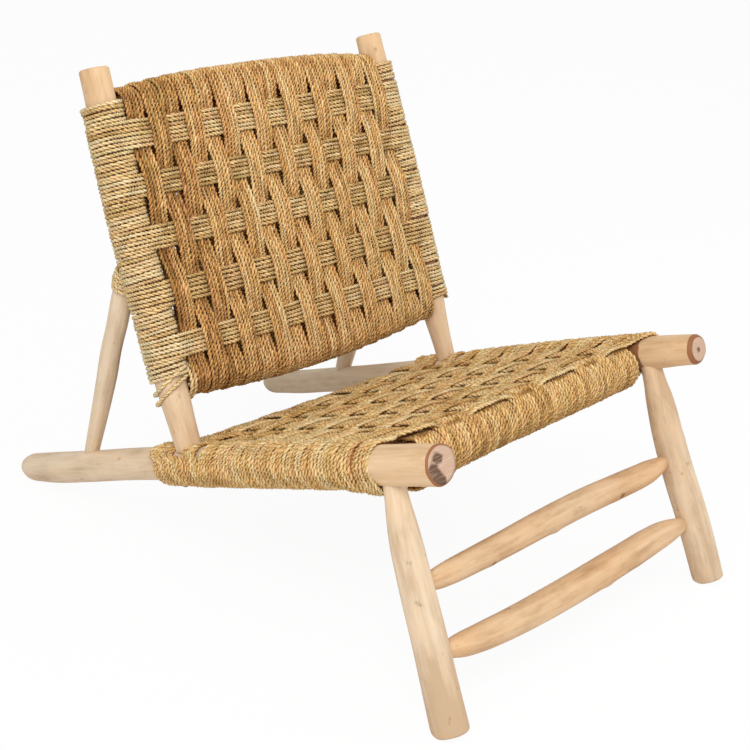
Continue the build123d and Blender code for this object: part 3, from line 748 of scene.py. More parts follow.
@dataclass
class Branch:
    """A peeled branch: a smooth centre line, radii at lengths along it, knots and its finish.

    `bevel` and `reach` are the depth and length of the worn edge at a sawn end, `smears` are
    dark places on the front face (across, up, size), `shade_under_rope` is the stretch painted
    dark under rope as painted shade, and `warm` and `dim` are a warmer colour and
    painted shade at lengths along the branch.
    """

    node: str
    line: Sequence[Sequence[float]]
    radii: Course
    fibre: Fibre = Fibre.PALE_WOOD
    knots: Sequence[Knot] = ()
    seed: float = 1.0
    bevel: float = 3.0
    reach: float = 3.0
    facets: float = 0.016
    cut_start: bool = True
    cut_end: bool = True
    rim: float = 0.0
    smears: Sequence[Tuple[float, float, float]] = ()
    shade_under_rope: Tuple[float, float] = (0.0, 0.0)
    warm: Course = ((0.0, 0.0),)
    dim: Course = ((0.0, 0.0),)
    round_end: float = 0.0
    on_floor: bool = False
    columns: int = 48
    step: float = 5.0

    def profile(self, total: float) -> Tuple[Array, Array, Array, Array]:
        """Rings from one end's middle to the other's.

        They go outwards over the first face, down its worn edge, along the branch, and back
        over the last face. The radii are blurred a little along the branch, and a rounded
        end shrinks them like an ellipse.

        Args:
            total: Length of the branch.

        Returns:
            Lengths, radii, sawn-face marks and bark-rim marks.
        """
        body = np.linspace(0.0, total, int(total / self.step) + 1)
        blur = np.hanning(9) / np.hanning(9).sum()
        radii = np.convolve(np.pad(graded(self.radii, body), 4, mode="edge"), blur, mode="valid")
        if self.round_end:
            share = np.clip((body - (total - self.round_end)) / self.round_end, 0.0, 0.985)
            radii = radii * np.sqrt(1 - share**2)
        inner = np.array([0.1, 0.28, 0.46, 0.64, 0.82, 1.0])
        edge = np.array([0.02, 0.4, 1.0, 1.25]) * self.reach
        rise = np.array([1.0, 0.35, 0.0, 0.0])
        last = 0.0 if self.round_end else self.bevel
        tail = np.interp(total - edge, body, radii) if self.round_end else radii[-1]
        keep = (body > 1.5 * self.reach) & (body < total - 1.5 * self.reach)
        none = np.zeros(keep.sum())
        lie = np.concatenate([0 * inner, edge, body[keep], (total - edge)[::-1], 0 * inner + total])
        out = np.concatenate([(radii[0] - self.bevel) * inner, radii[0] - self.bevel * rise, radii[keep],
                              (tail - last * rise)[::-1], ((radii[-1] - last) * inner)[::-1]])
        cut = np.concatenate([0 * inner + self.cut_start, 0 * edge, none, 0 * edge,
                              0 * inner + (self.cut_end and not self.round_end)])
        rim = np.concatenate([0 * inner, [1.0, 1.0, 1.0, 0.0], none, 0 * edge, 0 * inner]) * self.rim
        return lie, out, cut, rim

    def stains(self, across: Array, up: Array) -> Array:
        """How dark the sawn face is: a rounded hill for each smear.

        Args:
            across: Place across the face.
            up: Place up the face.

        Returns:
            Darkness at each place, 0 to 1.
        """
        total = np.zeros_like(across)
        for x, y, size in self.smears:
            total += np.exp(-((across - x) ** 2 + (up - y) ** 2) / size**2)
        return np.clip(total, 0.0, 1.0)

    def build(self) -> None:
        """Sweeps rings of faceted radius along the centre line.

        The radius at a turn is the profile's radius times one plus a few slow waves round
        and along the branch, plus a rounded hill for each knot.
        """
        line = through(self.line, 2.0)
        at = lengths(line)
        lie, out, cut, rim = self.profile(at[-1])
        tangent = unit(sampled(unit(np.gradient(line, axis=0)), at, lie))
        guide = ACROSS_X if abs(tangent[0, 0]) < 0.7 else UP_Z
        across = unit(guide - tangent * np.sum(guide * tangent, axis=1, keepdims=True))
        other = np.cross(across, tangent)
        turn = 2 * np.pi * np.arange(self.columns)[None, :] / self.columns
        along = lie[:, None]
        rng = np.random.default_rng(int(self.seed * 1000))
        waves = np.zeros((len(lie), self.columns))
        for order, weight in ((2, 0.9), (3, 1.0), (5, 0.55), (7, 0.45), (9, 0.25)):
            phase = 2 * np.pi * rng.random()
            phase = phase + 2.2 * np.sin(along / (90 + 160 * rng.random()) + 6.3 * rng.random())
            waves += weight * np.cos(order * turn + phase)
        fade = np.clip(out[:, None] / out.max() * 2 - 0.4, 0, 1)
        radius = out[:, None] * (1 + self.facets * waves * fade)
        scar = np.zeros_like(radius)
        for knot in self.knots:
            aside = ((turn - knot.turn + np.pi) % (2 * np.pi) - np.pi) * out[:, None]
            far = ((along - knot.along) / knot.size) ** 2 + (aside / (0.75 * knot.size)) ** 2
            hill = np.exp(-far)
            radius += knot.height * hill
            scar = np.maximum(scar, knot.dark * np.exp(-far * 2.2))
        points = ring_points(sampled(line, at, lie), across, other, radius, turn)
        if self.on_floor:
            points[..., 2] = np.maximum(points[..., 2], 0.0)
        start = np.broadcast_to(along + 1733 * self.seed, radius.shape)
        # Painted shade: stretches under rope are marked to take the dark brown of bark rims.
        shaded_by_rope = (lie > self.shade_under_rope[0]) & (lie < self.shade_under_rope[1])
        marks = {
            "grain": np.stack(
                [start, radius / 22 * np.cos(turn), radius / 22 * np.sin(turn)], axis=-1
            ).reshape(-1, 3),
            "knot": scar.reshape(-1),
            "cut": np.repeat(cut, self.columns),
            "rim": np.repeat(np.maximum(rim, shaded_by_rope), self.columns),
            "warm": np.repeat(graded(self.warm, lie), self.columns),
            "dim": np.repeat(graded(self.dim, lie), self.columns),
            "stain": self.stains(radius * np.cos(turn), radius * np.sin(turn)).reshape(-1),
        }
        surface = Surface()
        surface.add(points.reshape(-1, 3), tube_faces(len(lie), self.columns), marks)
        settle(surface.build(f"branch_{self.node}", MATERIALS[self.fibre]), self.fibre, self.node)


@dataclass
class Woodwork:
    """All the branches of the chair."""

    def build(self) -> None:
        """Makes rails, legs, stretchers, posts, struts and the four hidden bars."""
        groups = (self.rails(), self.legs(), self.stretchers(), self.posts(), self.struts(), self.bars())
        for branch in (branch for group in groups for branch in group):
            branch.build()

    def rails(self) -> List[Branch]:
        """The two long rails, sawn in front and rounded where they lie on the floor."""
        return [
            Branch("left_seat_rail", RAIL_LINES[Side.LEFT],
                   [(0, 25.6), (40, 25.6), (110, 25.4), (560, 24.4), (740, 24.2), (860, 24.9), (960, 21.4)],
                   seed=1.1, bevel=2.5, reach=2.5, rim=0.8,
                   smears=[(-8, 10, 7), (-1, 8, 5), (-17, -1, 6), (-14, -8, 8), (-9, -15, 8), (-3, -20, 6)],
                   shade_under_rope=(108.0, 440.0), warm=[(0, 0.8), (120, 0.6), (560, 0.15), (900, 0.0)],
                   round_end=34.0, on_floor=True,
                   knots=[Knot(28, 2.2, 0.8, 9, 0.3), Knot(742, 3.9, 1.0, 12, 0.25)]),
            Branch("right_seat_rail", RAIL_LINES[Side.RIGHT],
                   [(0, 21.6), (30, 22.2), (60, 23.6), (560, 23.5), (690, 21.8), (860, 21.5), (960, 19.0)],
                   seed=2.3, bevel=4.6, reach=5.5, rim=1.0, smears=[(-1, -1, 4)], shade_under_rope=(86.0, 430.0),
                   warm=[(0, 0.9), (120, 0.7), (560, 0.15), (900, 0.0)],
                   round_end=32.0, on_floor=True,
                   knots=[Knot(66, 1.9, 0.8, 8, 0.6), Knot(640, 3.6, 1.4, 10, 0.7),
                          Knot(700, 3.3, 1.2, 9, 0.6)]),
        ]

    def legs(self) -> List[Branch]:
        """The two raked legs, tapered like a pencil where they enter the rails."""
        return [
            # Painted shade: each leg darkens towards the floor, the right one also just under the rail.
            Branch("left_front_leg",
                   [(-275.6, 76, 300), (-276.6, 66.5, 274), (-278.5, 51.5, 236), (-281.2, 16, 155),
                    (-283.4, -2, 119.5), (-285.2, -39, 33), (-286.0, -53.5, 0)],
                   [(0, 14.2), (28, 15.2), (60, 19.0), (90, 21.2), (160, 22.4), (240, 23.0), (330, 24.2)],
                   seed=3.7, bevel=2.0, on_floor=True, warm=[(0, 0.3), (120, 0.05), (330, 0.15)],
                   dim=[(0, 0.0), (190, 0.05), (290, 0.3), (340, 0.5)],
                   knots=[Knot(205, 4.2, 0.8, 9, 0.3)]),
            Branch("right_front_leg",
                   [(272.0, 76, 306), (273.0, 64.5, 279), (274.5, 51, 247), (277.0, 34.5, 204),
                    (279.8, 5, 141), (282.0, -16, 99), (283.4, -36.5, 55), (284.0, -61, 0)],
                   [(0, 14.8), (28, 16.0), (50, 19.6), (85, 21.8), (140, 23.2), (200, 23.9),
                    (260, 24.0), (340, 22.9)],
                   seed=4.9, bevel=2.0, on_floor=True, warm=[(0, 0.4), (120, 0.15), (340, 0.05)],
                   dim=[(0, 0.2), (90, 0.2), (250, 0.05), (345, 0.28)],
                   knots=[Knot(62, 4.4, 0.3, 5, 0.8), Knot(120, 5.0, 0.9, 10, 0.3),
                          Knot(255, 4.6, 0.6, 8, 0.4)]),
        ]

    def stretchers(self) -> List[Branch]:
        """The two stretchers between the legs, quickly rounded down at their ends."""
        return [
            Branch("upper_front_stretcher",
                   [(-267.0, 25.0, 165.6), (-187, 26.5, 164.2), (-108, 27.0, 164.6), (-26, 27.0, 167.2),
                    (62, 27.0, 167.9), (155, 26.0, 165.7), (204, 25.4, 165.0), (264, 24.5, 168.8)],
                   [(0, 9.0), (12, 10.2), (26, 13.8), (60, 16.2), (120, 17.5), (240, 18.5), (330, 18.7),
                    (440, 18.2), (485, 17.2), (508, 13.6), (520, 11.0), (531, 9.5)],
                   fibre=Fibre.TAN_WOOD, seed=5.2, bevel=0.5, cut_start=False, cut_end=False,
                   warm=[(0, 0.3), (60, 0.1), (200, 0.3), (300, 0.0), (420, 0.5), (530, 0.5)],
                   knots=[Knot(120, 4.4, 1.6, 10, 0.9), Knot(255, 4.0, 1.4, 9, 0.9),
                          Knot(398, 4.6, 1.8, 11, 1.0)]),
            Branch("lower_front_stretcher",
                   [(-267.0, -17.0, 92.4), (-217, -18.5, 86.0), (-140, -20.5, 81.4), (-58, -20.5, 79.6),
                    (28, -19.5, 79.8), (118, -18.0, 81.0), (214, -17.0, 83.4), (266, -17.0, 81.5)],
                   [(0, 9.8), (14, 12.3), (34, 16.0), (80, 18.4), (128, 19.4), (200, 20.4), (260, 20.7),
                    (340, 20.9), (430, 20.4), (480, 18.6), (508, 14.8), (522, 11.5), (534, 10.0)],
                   fibre=Fibre.TAN_WOOD, seed=6.4, bevel=0.5, cut_start=False, cut_end=False,
                   warm=[(0, 0.4), (150, 0.1), (330, 0.5), (430, 0.2), (530, 0.2)],
                   knots=[Knot(330, 3.6, 1.8, 11, 1.0), Knot(352, 4.4, 1.2, 8, 0.8),
                          Knot(402, 3.4, 1.6, 10, 0.8)]),
        ]

    def posts(self) -> List[Branch]:
        """The two leaning posts."""
        return [
            Branch("left_back_post", POST_LINES[Side.LEFT],
                   [(0, 21.2), (35, 21.5), (65, 22.6), (240, 23.4), (425, 22.8), (460, 22.0), (505, 19.4),
                    (550, 18.2)],
                   seed=7.7, bevel=2.5, cut_end=False, shade_under_rope=(54.0, 436.0),
                   warm=[(0, 0.9), (70, 0.7), (420, 0.3), (550, 0.6)],
                   knots=[Knot(475, 4.0, 1.0, 9, 0.2)]),
            Branch("right_back_post", POST_LINES[Side.RIGHT],
                   [(0, 20.0), (35, 20.6), (65, 22.6), (240, 23.4), (435, 22.2), (465, 19.0), (505, 16.0),
                    (550, 14.5)],
                   seed=8.3, bevel=2.5, cut_end=False, shade_under_rope=(54.0, 436.0),
                   warm=[(0, 0.9), (70, 0.8), (420, 0.4), (550, 0.5)],
                   knots=[Knot(27, 4.3, 1.0, 8, 0.8), Knot(491, 4.0, 0.8, 8, 0.3)]),
        ]

    def struts(self) -> List[Branch]:
        """The two thin struts behind the posts."""
        return [
            Branch("left_rear_strut",
                   [(-269.3, 603, 424), (-269.3, 614, 396), (-269.2, 632, 335), (-269.1, 650.0, 285),
                    (-269.0, 661.6, 243), (-268.8, 676, 198), (-268.6, 693, 147), (-268.4, 706, 107),
                    (-268.3, 712, 84)],
                   [(0, 12.5), (30, 14.0), (70, 15.1), (120, 14.5), (180, 14.8), (230, 13.8), (280, 12.7),
                    (355, 10.8)],
                   seed=9.1, bevel=1.5, facets=0.028, cut_end=False),
            Branch("right_rear_strut",
                   [(269.6, 603, 424), (269.7, 614, 396), (269.9, 633, 335), (270.0, 653, 276),
                    (270.0, 680, 185), (270.0, 694, 138), (270.0, 701, 108), (270.0, 706, 86)],
                   [(0, 12.5), (40, 14.0), (100, 15.6), (185, 15.8), (235, 15.6), (300, 15.6), (330, 13.4),
                    (355, 12.6)],
                   seed=10.6, bevel=1.5, facets=0.024, cut_end=False),
        ]

    def bars(self) -> List[Branch]:
        """The four bars under the rope, necked where they enter the branches.

        Returns:
            The seat's front and rear bar, then the back's top and bottom bar.
        """
        seat_radii = [(0, 10.5), (20, 11.5), (42, 19.5), (494, 19.5), (516, 11.5), (536, 10.5)]
        back_radii = [(0, 11.5), (22, 12.0), (34, 21.5), (490, 21.5), (502, 12.0), (524, 11.5)]
        x = np.array([-268.0, -240.0, 0.0, 240.0, 268.0])
        height = np.full(5, SEAT_BAR_HEIGHT + 2.0)
        found = [
            (node, SEAT.place(x, np.full(5, run), height), seat_radii, run / 50)
            for node, run in (("seat_front_crossbar", FRONT_BAR_RUN), ("seat_rear_crossbar", REAR_BAR_RUN))
        ]
        x = np.linspace(-262.0, 262.0, 9)
        found += [
            (node, BACK.place(x, bow.drop(x), np.zeros(9)), back_radii, bow.ends / 40)
            for node, bow in (("back_top_crossbar", TOP_BOW), ("back_bottom_crossbar", BOTTOM_BOW))
        ]
        # Painted shade: each bar lies under rope all along, so it is dark brown all along.
        return [Branch(node, line.tolist(), radii, fibre=Fibre.TAN_WOOD, seed=seed, bevel=0.5,
                       shade_under_rope=(0.0, 540.0), cut_start=False, cut_end=False)
                for node, line, radii, seed in found]


@dataclass(frozen=True)
class Bow:
    """The centre line of a bowed back bar."""

    ends: float
    rise: float
    power: float = 2.0
    tilt: float = 0.0
    reach: float = 255.0

    def drop(self, x: Union[Array, float]) -> Union[Array, float]:
        """How far down the posts the bar lies at x: a bow of some power of x, and a tilt."""
        share = np.asarray(x) / self.reach
        return self.ends + self.tilt * share - self.rise * (1 - np.abs(share) ** self.power)


TOP_BOW = Bow(59.3, 15.2, power=2.8, tilt=-0.6)
BOTTOM_BOW = Bow(439.3, -17.0, tilt=-1.8)


# --- rope -------------------------------------------------------------------------------
def even(first: int, second: int) -> bool:
    """Whether two groups' numbers add up to an even one, which sets who passes over whom."""
    return (first + second) % 2 == 0


def turned(count: int, radius: float) -> Array:
    """Turns done at each step of a cord that goes round a circle.

    Args:
        count: How many times it goes round.
        radius: Radius of the circle.

    Returns:
        The turns, from 0 to `count`.
    """
    per_turn = int(round(2 * np.pi * radius / TWINE.step))
    return np.arange(per_turn * count + 1) / per_turn


def arc(middle: Tuple[float, float], radius: float, start: float, end: float, count: int) -> Array:
    """Points on a circle between two angles in degrees."""
    angle = np.radians(np.linspace(start, end, count))
    return np.stack([middle[0] + radius * np.cos(angle), middle[1] + radius * np.sin(angle)], axis=1)


@dataclass
class Winding:
    """A cord wound several times round one closed loop, each turn beside the last.

    The cord's middle at turn q is the loop's point at the fraction of q, moved across the
    loop by (q - turns / 2) times the spacing there, plus a small drift.
    """

    loop: Array
    turns: int
    spacing: Callable[[Array, Array], Array]
    place: Callable[[Array, Array, Array], Array]
    across: Array
    seed: float
    shift: Optional[Callable[[Array, Array], Array]] = None
    shade: Optional[Callable[[Array, Array], Array]] = None
    girth: Optional[Callable[[Array, Array], Array]] = None
    reach: float = 0.35

    def lay(self, surface: Surface, shades: Sequence[float]) -> None:
        """Adds the cord.

        Args:
            surface: What it is added to.
            shades: Shade of each turn, 0 to 1.
        """
        one = evenly(self.loop, TWINE.step)[:-1]
        q = np.arange(len(one) * self.turns) / len(one)
        along = q * len(one) * TWINE.step
        first = np.tile(one[:, 0], self.turns) + wander(along, self.seed + 3, 0.5 * self.reach, 47.0)
        second = np.tile(one[:, 1], self.turns) + wander(along, self.seed + 1, self.reach, 83.0)
        third = (q - self.turns / 2) * self.spacing(first, second)
        third = third + wander(along, self.seed, self.reach, 110.0)
        if self.shift is not None:
            third = third + self.shift(first, second)
        tone = np.asarray(shades)[np.floor(q).astype(int)] + wander(along, self.seed + 9, 0.2, 420.0)
        # Painted shade: the shade function darkens the tone where the cords lie in shade.
        if self.shade is not None:
            tone = tone + self.shade(first, second)
        girth = 1.0 if self.girth is None else self.girth(first, second)
        TWINE.sweep(surface, self.place(first, second, third), self.across, tone, self.seed, girth)

    def settle(self, node: str, fibre: Fibre, shades: Sequence[float]) -> None:
        """Makes this cord alone the rope of a node.

        Args:
            node: The node that the rope replaces.
            fibre: Its slot.
            shades: Shade of each turn, 0 to 1.
        """
        surface = Surface()
        self.lay(surface, shades)
        settle_rope(node, fibre, surface)


def tones(count: int, seed: int, middle: float = 0.5, spread: float = 0.28) -> Array:
    """A shade for each of a few cords."""
    rng = np.random.default_rng(seed)
    return np.clip(middle + spread * (2 * rng.random(count) - 1), 0.0, 1.0)


def settle_rope(node: str, fibre: Fibre, surface: Surface) -> None:
    """Builds a node's rope from its cords and lets it ride."""
    settle(surface.build(f"rope_{node}", MATERIALS[fibre]), fibre, node)


def painted_sheet_shade(level: float, wave: float, amount: float) -> Callable[[Array, Array], Array]:
    """Painted shade for a sheet's cords: darker where they dive under others, low down and on the far side.

    Args:
        level: Height of the sheet's near layer.
        wave: How far the cords dive below it.
        amount: Loss of tone in a dive.

    Returns:
        A function from length and height to the change of tone.
    """

    def shade(along: Array, height: Array) -> Array:
        """Change of tone.

        Args:
            along: Place along the sheet, which has no effect.
            height: Height over the branches' centre lines.

        Returns:
            What is added to the tone at each place.
        """
        below = 1 - ease(height, level - wave, level + 0.3 * wave)
        dive = below * ease(height, level - 2.6 * wave, level - 1.3 * wave)
        lowest = 0.3 * (1 - ease(height, -34.0, -24.0))
        return -amount * dive - lowest - 0.2 * (1 - ease(height, -22.0, 8.0))

    return shade


@dataclass(frozen=True)
class Swing:
    """How far a cross group is pulled back at the posts, on top and underneath."""

    top: float = 0.0
    under: float = 0.0
    right_share: float = 1.0


SWINGS = {12: Swing(12.0, 0.0), 13: Swing(35.0, 1.0, 0.68), 14: Swing(30.0, 2.0, 0.28)}


@dataclass
class Seat:
    """The woven seat: cross groups over both rails, long groups over both bars.

    `places` are the long groups' middles across the chair, `wave` and `long_wave` how far
    the cross and long cords rise over others and dive under them, and `half` how far on
    each side of a long group a cross group keeps its height (`first_half` where the first
    cross group passes over), between `weave_ends` across the chair. `ahead` is how far the
    first cross groups are pulled forward on the right rail, `right_lift` how high each lies
    there, and `rail_radii` the left and right rail's radius under the rope. `rail_droop`
    and `bar_droop` say how far groups hang under the left rail and the front bar, by their
    numbers, and `front_sag` the same for the turns between them. `hole` is how far the
    first cross group is pulled back beside the left rail, `left_aside` how far the left
    long group lies aside in front, and the last ends are the stretches that carry turns.
    """

    places: Tuple[float, ...] = (-207.0, -136.0, -63.0, 11.0, 85.0, 158.0, 232.0)
    long_cords: int = 5
    long_spacing: float = 5.9
    cross_count: int = 14
    cross_pitch: float = 31.0
    cross_cords: int = 5
    wave: float = 3.6
    long_wave: float = 2.2
    half: float = 18.0
    first_half: float = 30.0
    weave_ends: Tuple[float, float] = (-232.0, 240.0)
    ahead: Tuple[float, ...] = (24.0, 18.0, 12.5, 8.0, 4.5, 2.0)
    right_lift: Course = ((1, 1.0), (5, 2.5), (9, 1.8), (12, 0.4))
    rail_radii: Tuple[float, float] = (26.2, 23.8)
    bar_radius: float = 28.75
    rail_droop: Dict[int, float] = field(default_factory=lambda: {1: 8.0, 2: 4.0})
    bar_droop: Dict[int, float] = field(default_factory=lambda: {1: 9.0, 2: 3.0})
    front_sag: Dict[int, float] = field(default_factory=lambda: {0: 7.0, 1: 2.0})
    hole: float = 15.0
    left_aside: float = 9.0
    front_ends: Tuple[float, float] = (-224.0, 250.5)
    rear_ends: Tuple[float, float] = (-246.0, 250.5)
    rail_turns: Tuple[float, float] = (536.0, 548.0)

    def build(self) -> None:
        """Makes every seat group and the turns between them."""
        for index in range(1, self.cross_count + 1):
            self.cross_group(index)
        for index in range(1, len(self.places) + 1):
            self.long_group(index)
        self.front_turns()
        self.rear_turns()

    def run(self, index: int) -> float:
        """How far down the rails a cross group lies. The first one is pulled forward."""
        return FRONT_BAR_RUN + (index - 1) * self.cross_pitch - (2.0 if index == 1 else 0.0)

    def rail_radius(self, side: Side) -> float:
        """Radius of the cord's middle round a rail."""
        base = self.rail_radii[0] if side is Side.LEFT else self.rail_radii[1]
        return base + CORD - 0.2

    def cross_levels(self, index: int) -> List[Tuple[float, float]]:
        """The upper side of a cross group.

        Args:
            index: Number of the group, from the front.

        Returns:
            Points (x, height) from left to right.
        """
        points = []
        for place, x in enumerate(self.places, start=1):
            over = even(index, place)
            half = self.half
            level = SEAT_LEVEL + (self.wave if over else -self.wave)
            if index == 1:
                half = self.first_half if over else self.half
                level = (24.0 if place == 1 else 20.6) if over else 12.6
            points += [(max(x - half, self.weave_ends[0]), level), (min(x + half, self.weave_ends[1]), level)]
            if over:
                points.insert(-1, (x, level + 0.3))
        return points

    def cross_loop(self, index: int) -> Array:
        """The closed line of a cross group round both rails.

        Args:
            index: Number of the group, from the front.

        Returns:
            Points (x, height), from the middle of the underside.
        """
        left, right = self.rail_radius(Side.LEFT), self.rail_radius(Side.RIGHT)
        under = []
        for place, x in enumerate(self.places, start=1):
            level = SEAT_UNDER + (-self.wave if even(index, place) else self.wave)
            if index <= 2:
                level = -33.0 if index == 1 else -37.5
            under += [(x - self.half, level), (x + self.half, level)]
        under = [point for point in under if abs(point[0]) < 235]
        to_left = [point for point in reversed(under) if point[0] < 0]
        from_right = [point for point in reversed(under) if point[0] > 0]
        lift = float(graded(self.right_lift, index))
        droop = self.rail_droop.get(index, 0.0)
        round_left = arc((2 - RAIL_X, 0.0), left, 256, 76, 10)
        round_left[:, 1] -= droop * np.clip(-round_left[:, 1] / left, 0, 1) ** 2
        points = np.vstack([
            to_left,
            round_left,
            self.cross_levels(index),
            arc((RAIL_X - 2, lift), right, 104, -76, 10),
            from_right,
        ])
        return through(points, TWINE.step / 2, closed=True)

    def cross_group(self, index: int) -> None:
        """One group of cords across the seat, loosely spread at the rails, bunched between.

        Args:
            index: Number of the group, from the front.
        """
        run = self.run(index)
        pull = SWINGS.get(index, Swing())
        hole = self.hole if index == 1 else 0.0
        ahead = self.ahead[index - 1] if index <= len(self.ahead) else 0.0
        # Painted shade where the cords dive under others and on the far side.
        painted_dive_shade = painted_sheet_shade(SEAT_LEVEL, self.wave, 0.6)

        def spacing(x: Array, height: Array) -> Array:
            """Cords lie a little apart on the rails and close together between them."""
            return 5.65 + 0.55 * ease(np.abs(x), 205.0, 265.0)

        def swing(x: Array, height: Array) -> Array:
            """Groups swing back round the posts, and in front forward over the right rail.

            The first group leaves a rounded hole beside the left rail: it is pulled back by a
            bell curve of the place across the chair.

            Args:
                x: Place across the chair.
                height: Height over the rails' centre lines.

            Returns:
                How far back the group is moved at each place.
            """
            above = ease(height, -8.0, 16.0)
            top = ease(height, 10.0, 23.0)
            back = (pull.under + (pull.top - pull.under) * top) * ease(np.abs(x), 165.0, 246.0)
            back = back + hole * above * np.exp(-(((x + 224.0) / 20.0) ** 2))
            return back * np.where(x > 0, pull.right_share, 1.0) - ahead * ease(x, 232.0, 276.0) * above

        def sunk(height: Array, side: Array) -> Array:
            """The group's rear cord lies a little lower than the others on top."""
            return 2.4 * ease(side, 7.0, 11.0) * ease(height, 2.0, 12.0)

        def shade(x: Array, height: Array) -> Array:
            """Painted shade in dives, low down and on the far side, but not on the rails."""
            return painted_dive_shade(x, height) * (1 - ease(np.abs(x), 215.0, 235.0))

        Winding(
            self.cross_loop(index), self.cross_cords, spacing,
            lambda x, height, side: SEAT.place(x, run + side, height - sunk(height, side)),
            SEAT_RUN, seed=11.0 + index, shift=swing, shade=shade, reach=0.6,
        ).settle(f"seat_cross_{index:02d}", Fibre.SEAT_ROPE, tones(self.cross_cords, 100 + index, 0.56, 0.34))

    def long_loop(self, place: int) -> Array:
        """The closed line of a long group round both bars.

        Args:
            place: Number of the group, from the left.

        Returns:
            Points (run, height), from the middle of the underside.
        """
        upper = []
        for index in range(2, self.cross_count + 1):
            over = not even(index, place)
            upper.append((self.run(index), SEAT_LEVEL + (self.long_wave if over else -self.long_wave)))
        under = [(run, SEAT_UNDER + SEAT_LEVEL - level) for run, level in upper]
        first = 19.3 if place % 2 == 0 else 14.6
        roll = arc((FRONT_BAR_RUN, SEAT_BAR_HEIGHT), self.bar_radius, 262, 112, 9)
        droop = self.bar_droop.get(place, 0.0)
        roll[:, 1] -= droop * np.clip((SEAT_BAR_HEIGHT - roll[:, 1]) / self.bar_radius, 0, 1)
        points = np.vstack([
            [point for point in reversed(under) if 160 < point[0] < 340],
            roll,
            [(FRONT_BAR_RUN, first)],
            upper,
            arc((REAR_BAR_RUN, SEAT_BAR_HEIGHT), self.bar_radius, 84, -82, 9),
            [point for point in reversed(under) if 340 <= point[0] < 520],
        ])
        return through(points, TWINE.step / 2, closed=True)

    def long_group(self, place: int) -> None:
        """One group of cords from the front bar to the rear bar.

        Args:
            place: Number of the group, from the left.
        """
        middle = self.places[place - 1]
        aside = self.left_aside if place == 1 else 0.0

        def laid(run: Array, height: Array, side: Array) -> Array:
            """The left group lies nearer the middle in front."""
            return SEAT.place(middle + side + aside * (1 - ease(run, 110.0, 190.0)), run, height)

        Winding(
            self.long_loop(place), self.long_cords,
            lambda run, height: np.full_like(run, self.long_spacing), laid,
            # Painted shade: the cords are darker where they dive and on the far side.
            ACROSS_X, seed=41.0 + place, shade=painted_sheet_shade(SEAT_LEVEL, self.long_wave, 0.9), reach=0.6,
        ).settle(f"seat_long_{place}", Fibre.SEAT_ROPE, tones(self.long_cords, 200 + place, 0.55, 0.3))

    def bar_turns(self, surface: Surface, run: float, ends: Tuple[float, float],
                  top: Callable[[Array], Array], seed: float, sag: float = 0.0, pitch: float = 5.9,
                  girth: float = 1.0) -> None:
        """Turns round a seat bar.

        Each turn is a circle whose radius grows near its top by `top` of x and near its
        bottom by `sag`, and x grows evenly with the turn.

        Args:
            surface: What the cord is added to.
            run: How far down the rails the bar lies.
            ends: Where across the chair the turns begin and end.
            top: Growth of the radius at the top, by place across the chair.
            seed: A number that sets drift and shades.
            sag: Growth of the radius at the bottom.
            pitch: Wanted advance per turn, rounded so that whole turns fit.
            girth: Scale of the cord's thickness.
        """
        low, high = ends
        count = int(round((high - low) / pitch))
        if count < 1:
            return
        advance = (high - low) / count
        radius = self.bar_radius - 3.0 * (1 - girth)
        q = turned(count, radius)
        angle = 2 * np.pi * q - np.pi / 2
        x = low + advance * q
        along = q * (2 * np.pi * radius)
        lift = top(x) * np.clip(np.sin(angle), 0, 1) ** 3 + sag * np.clip(-np.sin(angle), 0, 1) ** 2
        reach = radius + lift + wander(along, seed, 0.5, 190.0)
        line = SEAT.place(
            x + wander(along, seed + 2, 0.4, 140.0),
            run - reach * np.cos(angle),
            SEAT_BAR_HEIGHT + reach * np.sin(angle),
        )
        shade = tones(count + 1, int(seed * 10), 0.48, 0.3)[np.floor(q).astype(int)]
        # Painted shade: turns are darker towards the left rail's nose, which shades them, and on the bar's
        # underside.
        shade = shade - 0.3 * (1 - ease(x, -215.0, -110.0)) - 0.35 * np.clip(-np.sin(angle), 0, 1)
        TWINE.sweep(surface, line, ACROSS_X, shade, seed, girth)

    def gaps(self, low: float, high: float) -> List[Tuple[float, float]]:
        """The stretches of a bar that no long group covers.

        Args:
            low: Where across the chair the first one begins.
            high: Where the last one ends.

        Returns:
            The two ends of each stretch.
        """
        half = self.long_cords * self.long_spacing / 2
        starts = [low] + [x + half for x in self.places]
        ends = [x - half for x in self.places] + [high]
        return [(start, end) for start, end in zip(starts, ends) if end - start > 4.0]

    def front_turns(self) -> None:
        """Turns on the front bar. Those next to an even group pass over the first cross group."""
        evens = np.array(self.places[1::2])

        def top(x: Array) -> Array:
            """Radius change at the top of a turn."""
            near = np.min(np.abs(x[:, None] - evens[None, :]), axis=1)
            return np.where(near < 36.0, 1.8, -2.6)

        surface = Surface()
        for number, ends in enumerate(self.gaps(*self.front_ends)):
            sag = self.front_sag.get(number, 0.0)
            self.bar_turns(surface, FRONT_BAR_RUN, ends, top, 60.0 + number, sag, pitch=5.25, girth=0.95)
        settle_rope("seat_front_binding", Fibre.SEAT_ROPE, surface)

    def rear_turns(self) -> None:
        """Turns on the rear bar, and on the rails behind the last cross group."""
        surface = Surface()

        def top(x: Array) -> Array:
            """Turns stay low under the cross group that swings back."""
            return np.where(np.abs(x) > 185.0, -6.0, -1.0)

        for number, ends in enumerate(self.gaps(*self.rear_ends)):
            self.bar_turns(surface, REAR_BAR_RUN, ends, top, 75.0 + number)
        for side in Side:
            coil(surface, RAIL_SMOOTH[side], self.rail_turns, self.rail_radius(side), 90.0 + side.sign)
        settle_rope("seat_rear_binding", Fibre.SEAT_ROPE, surface)


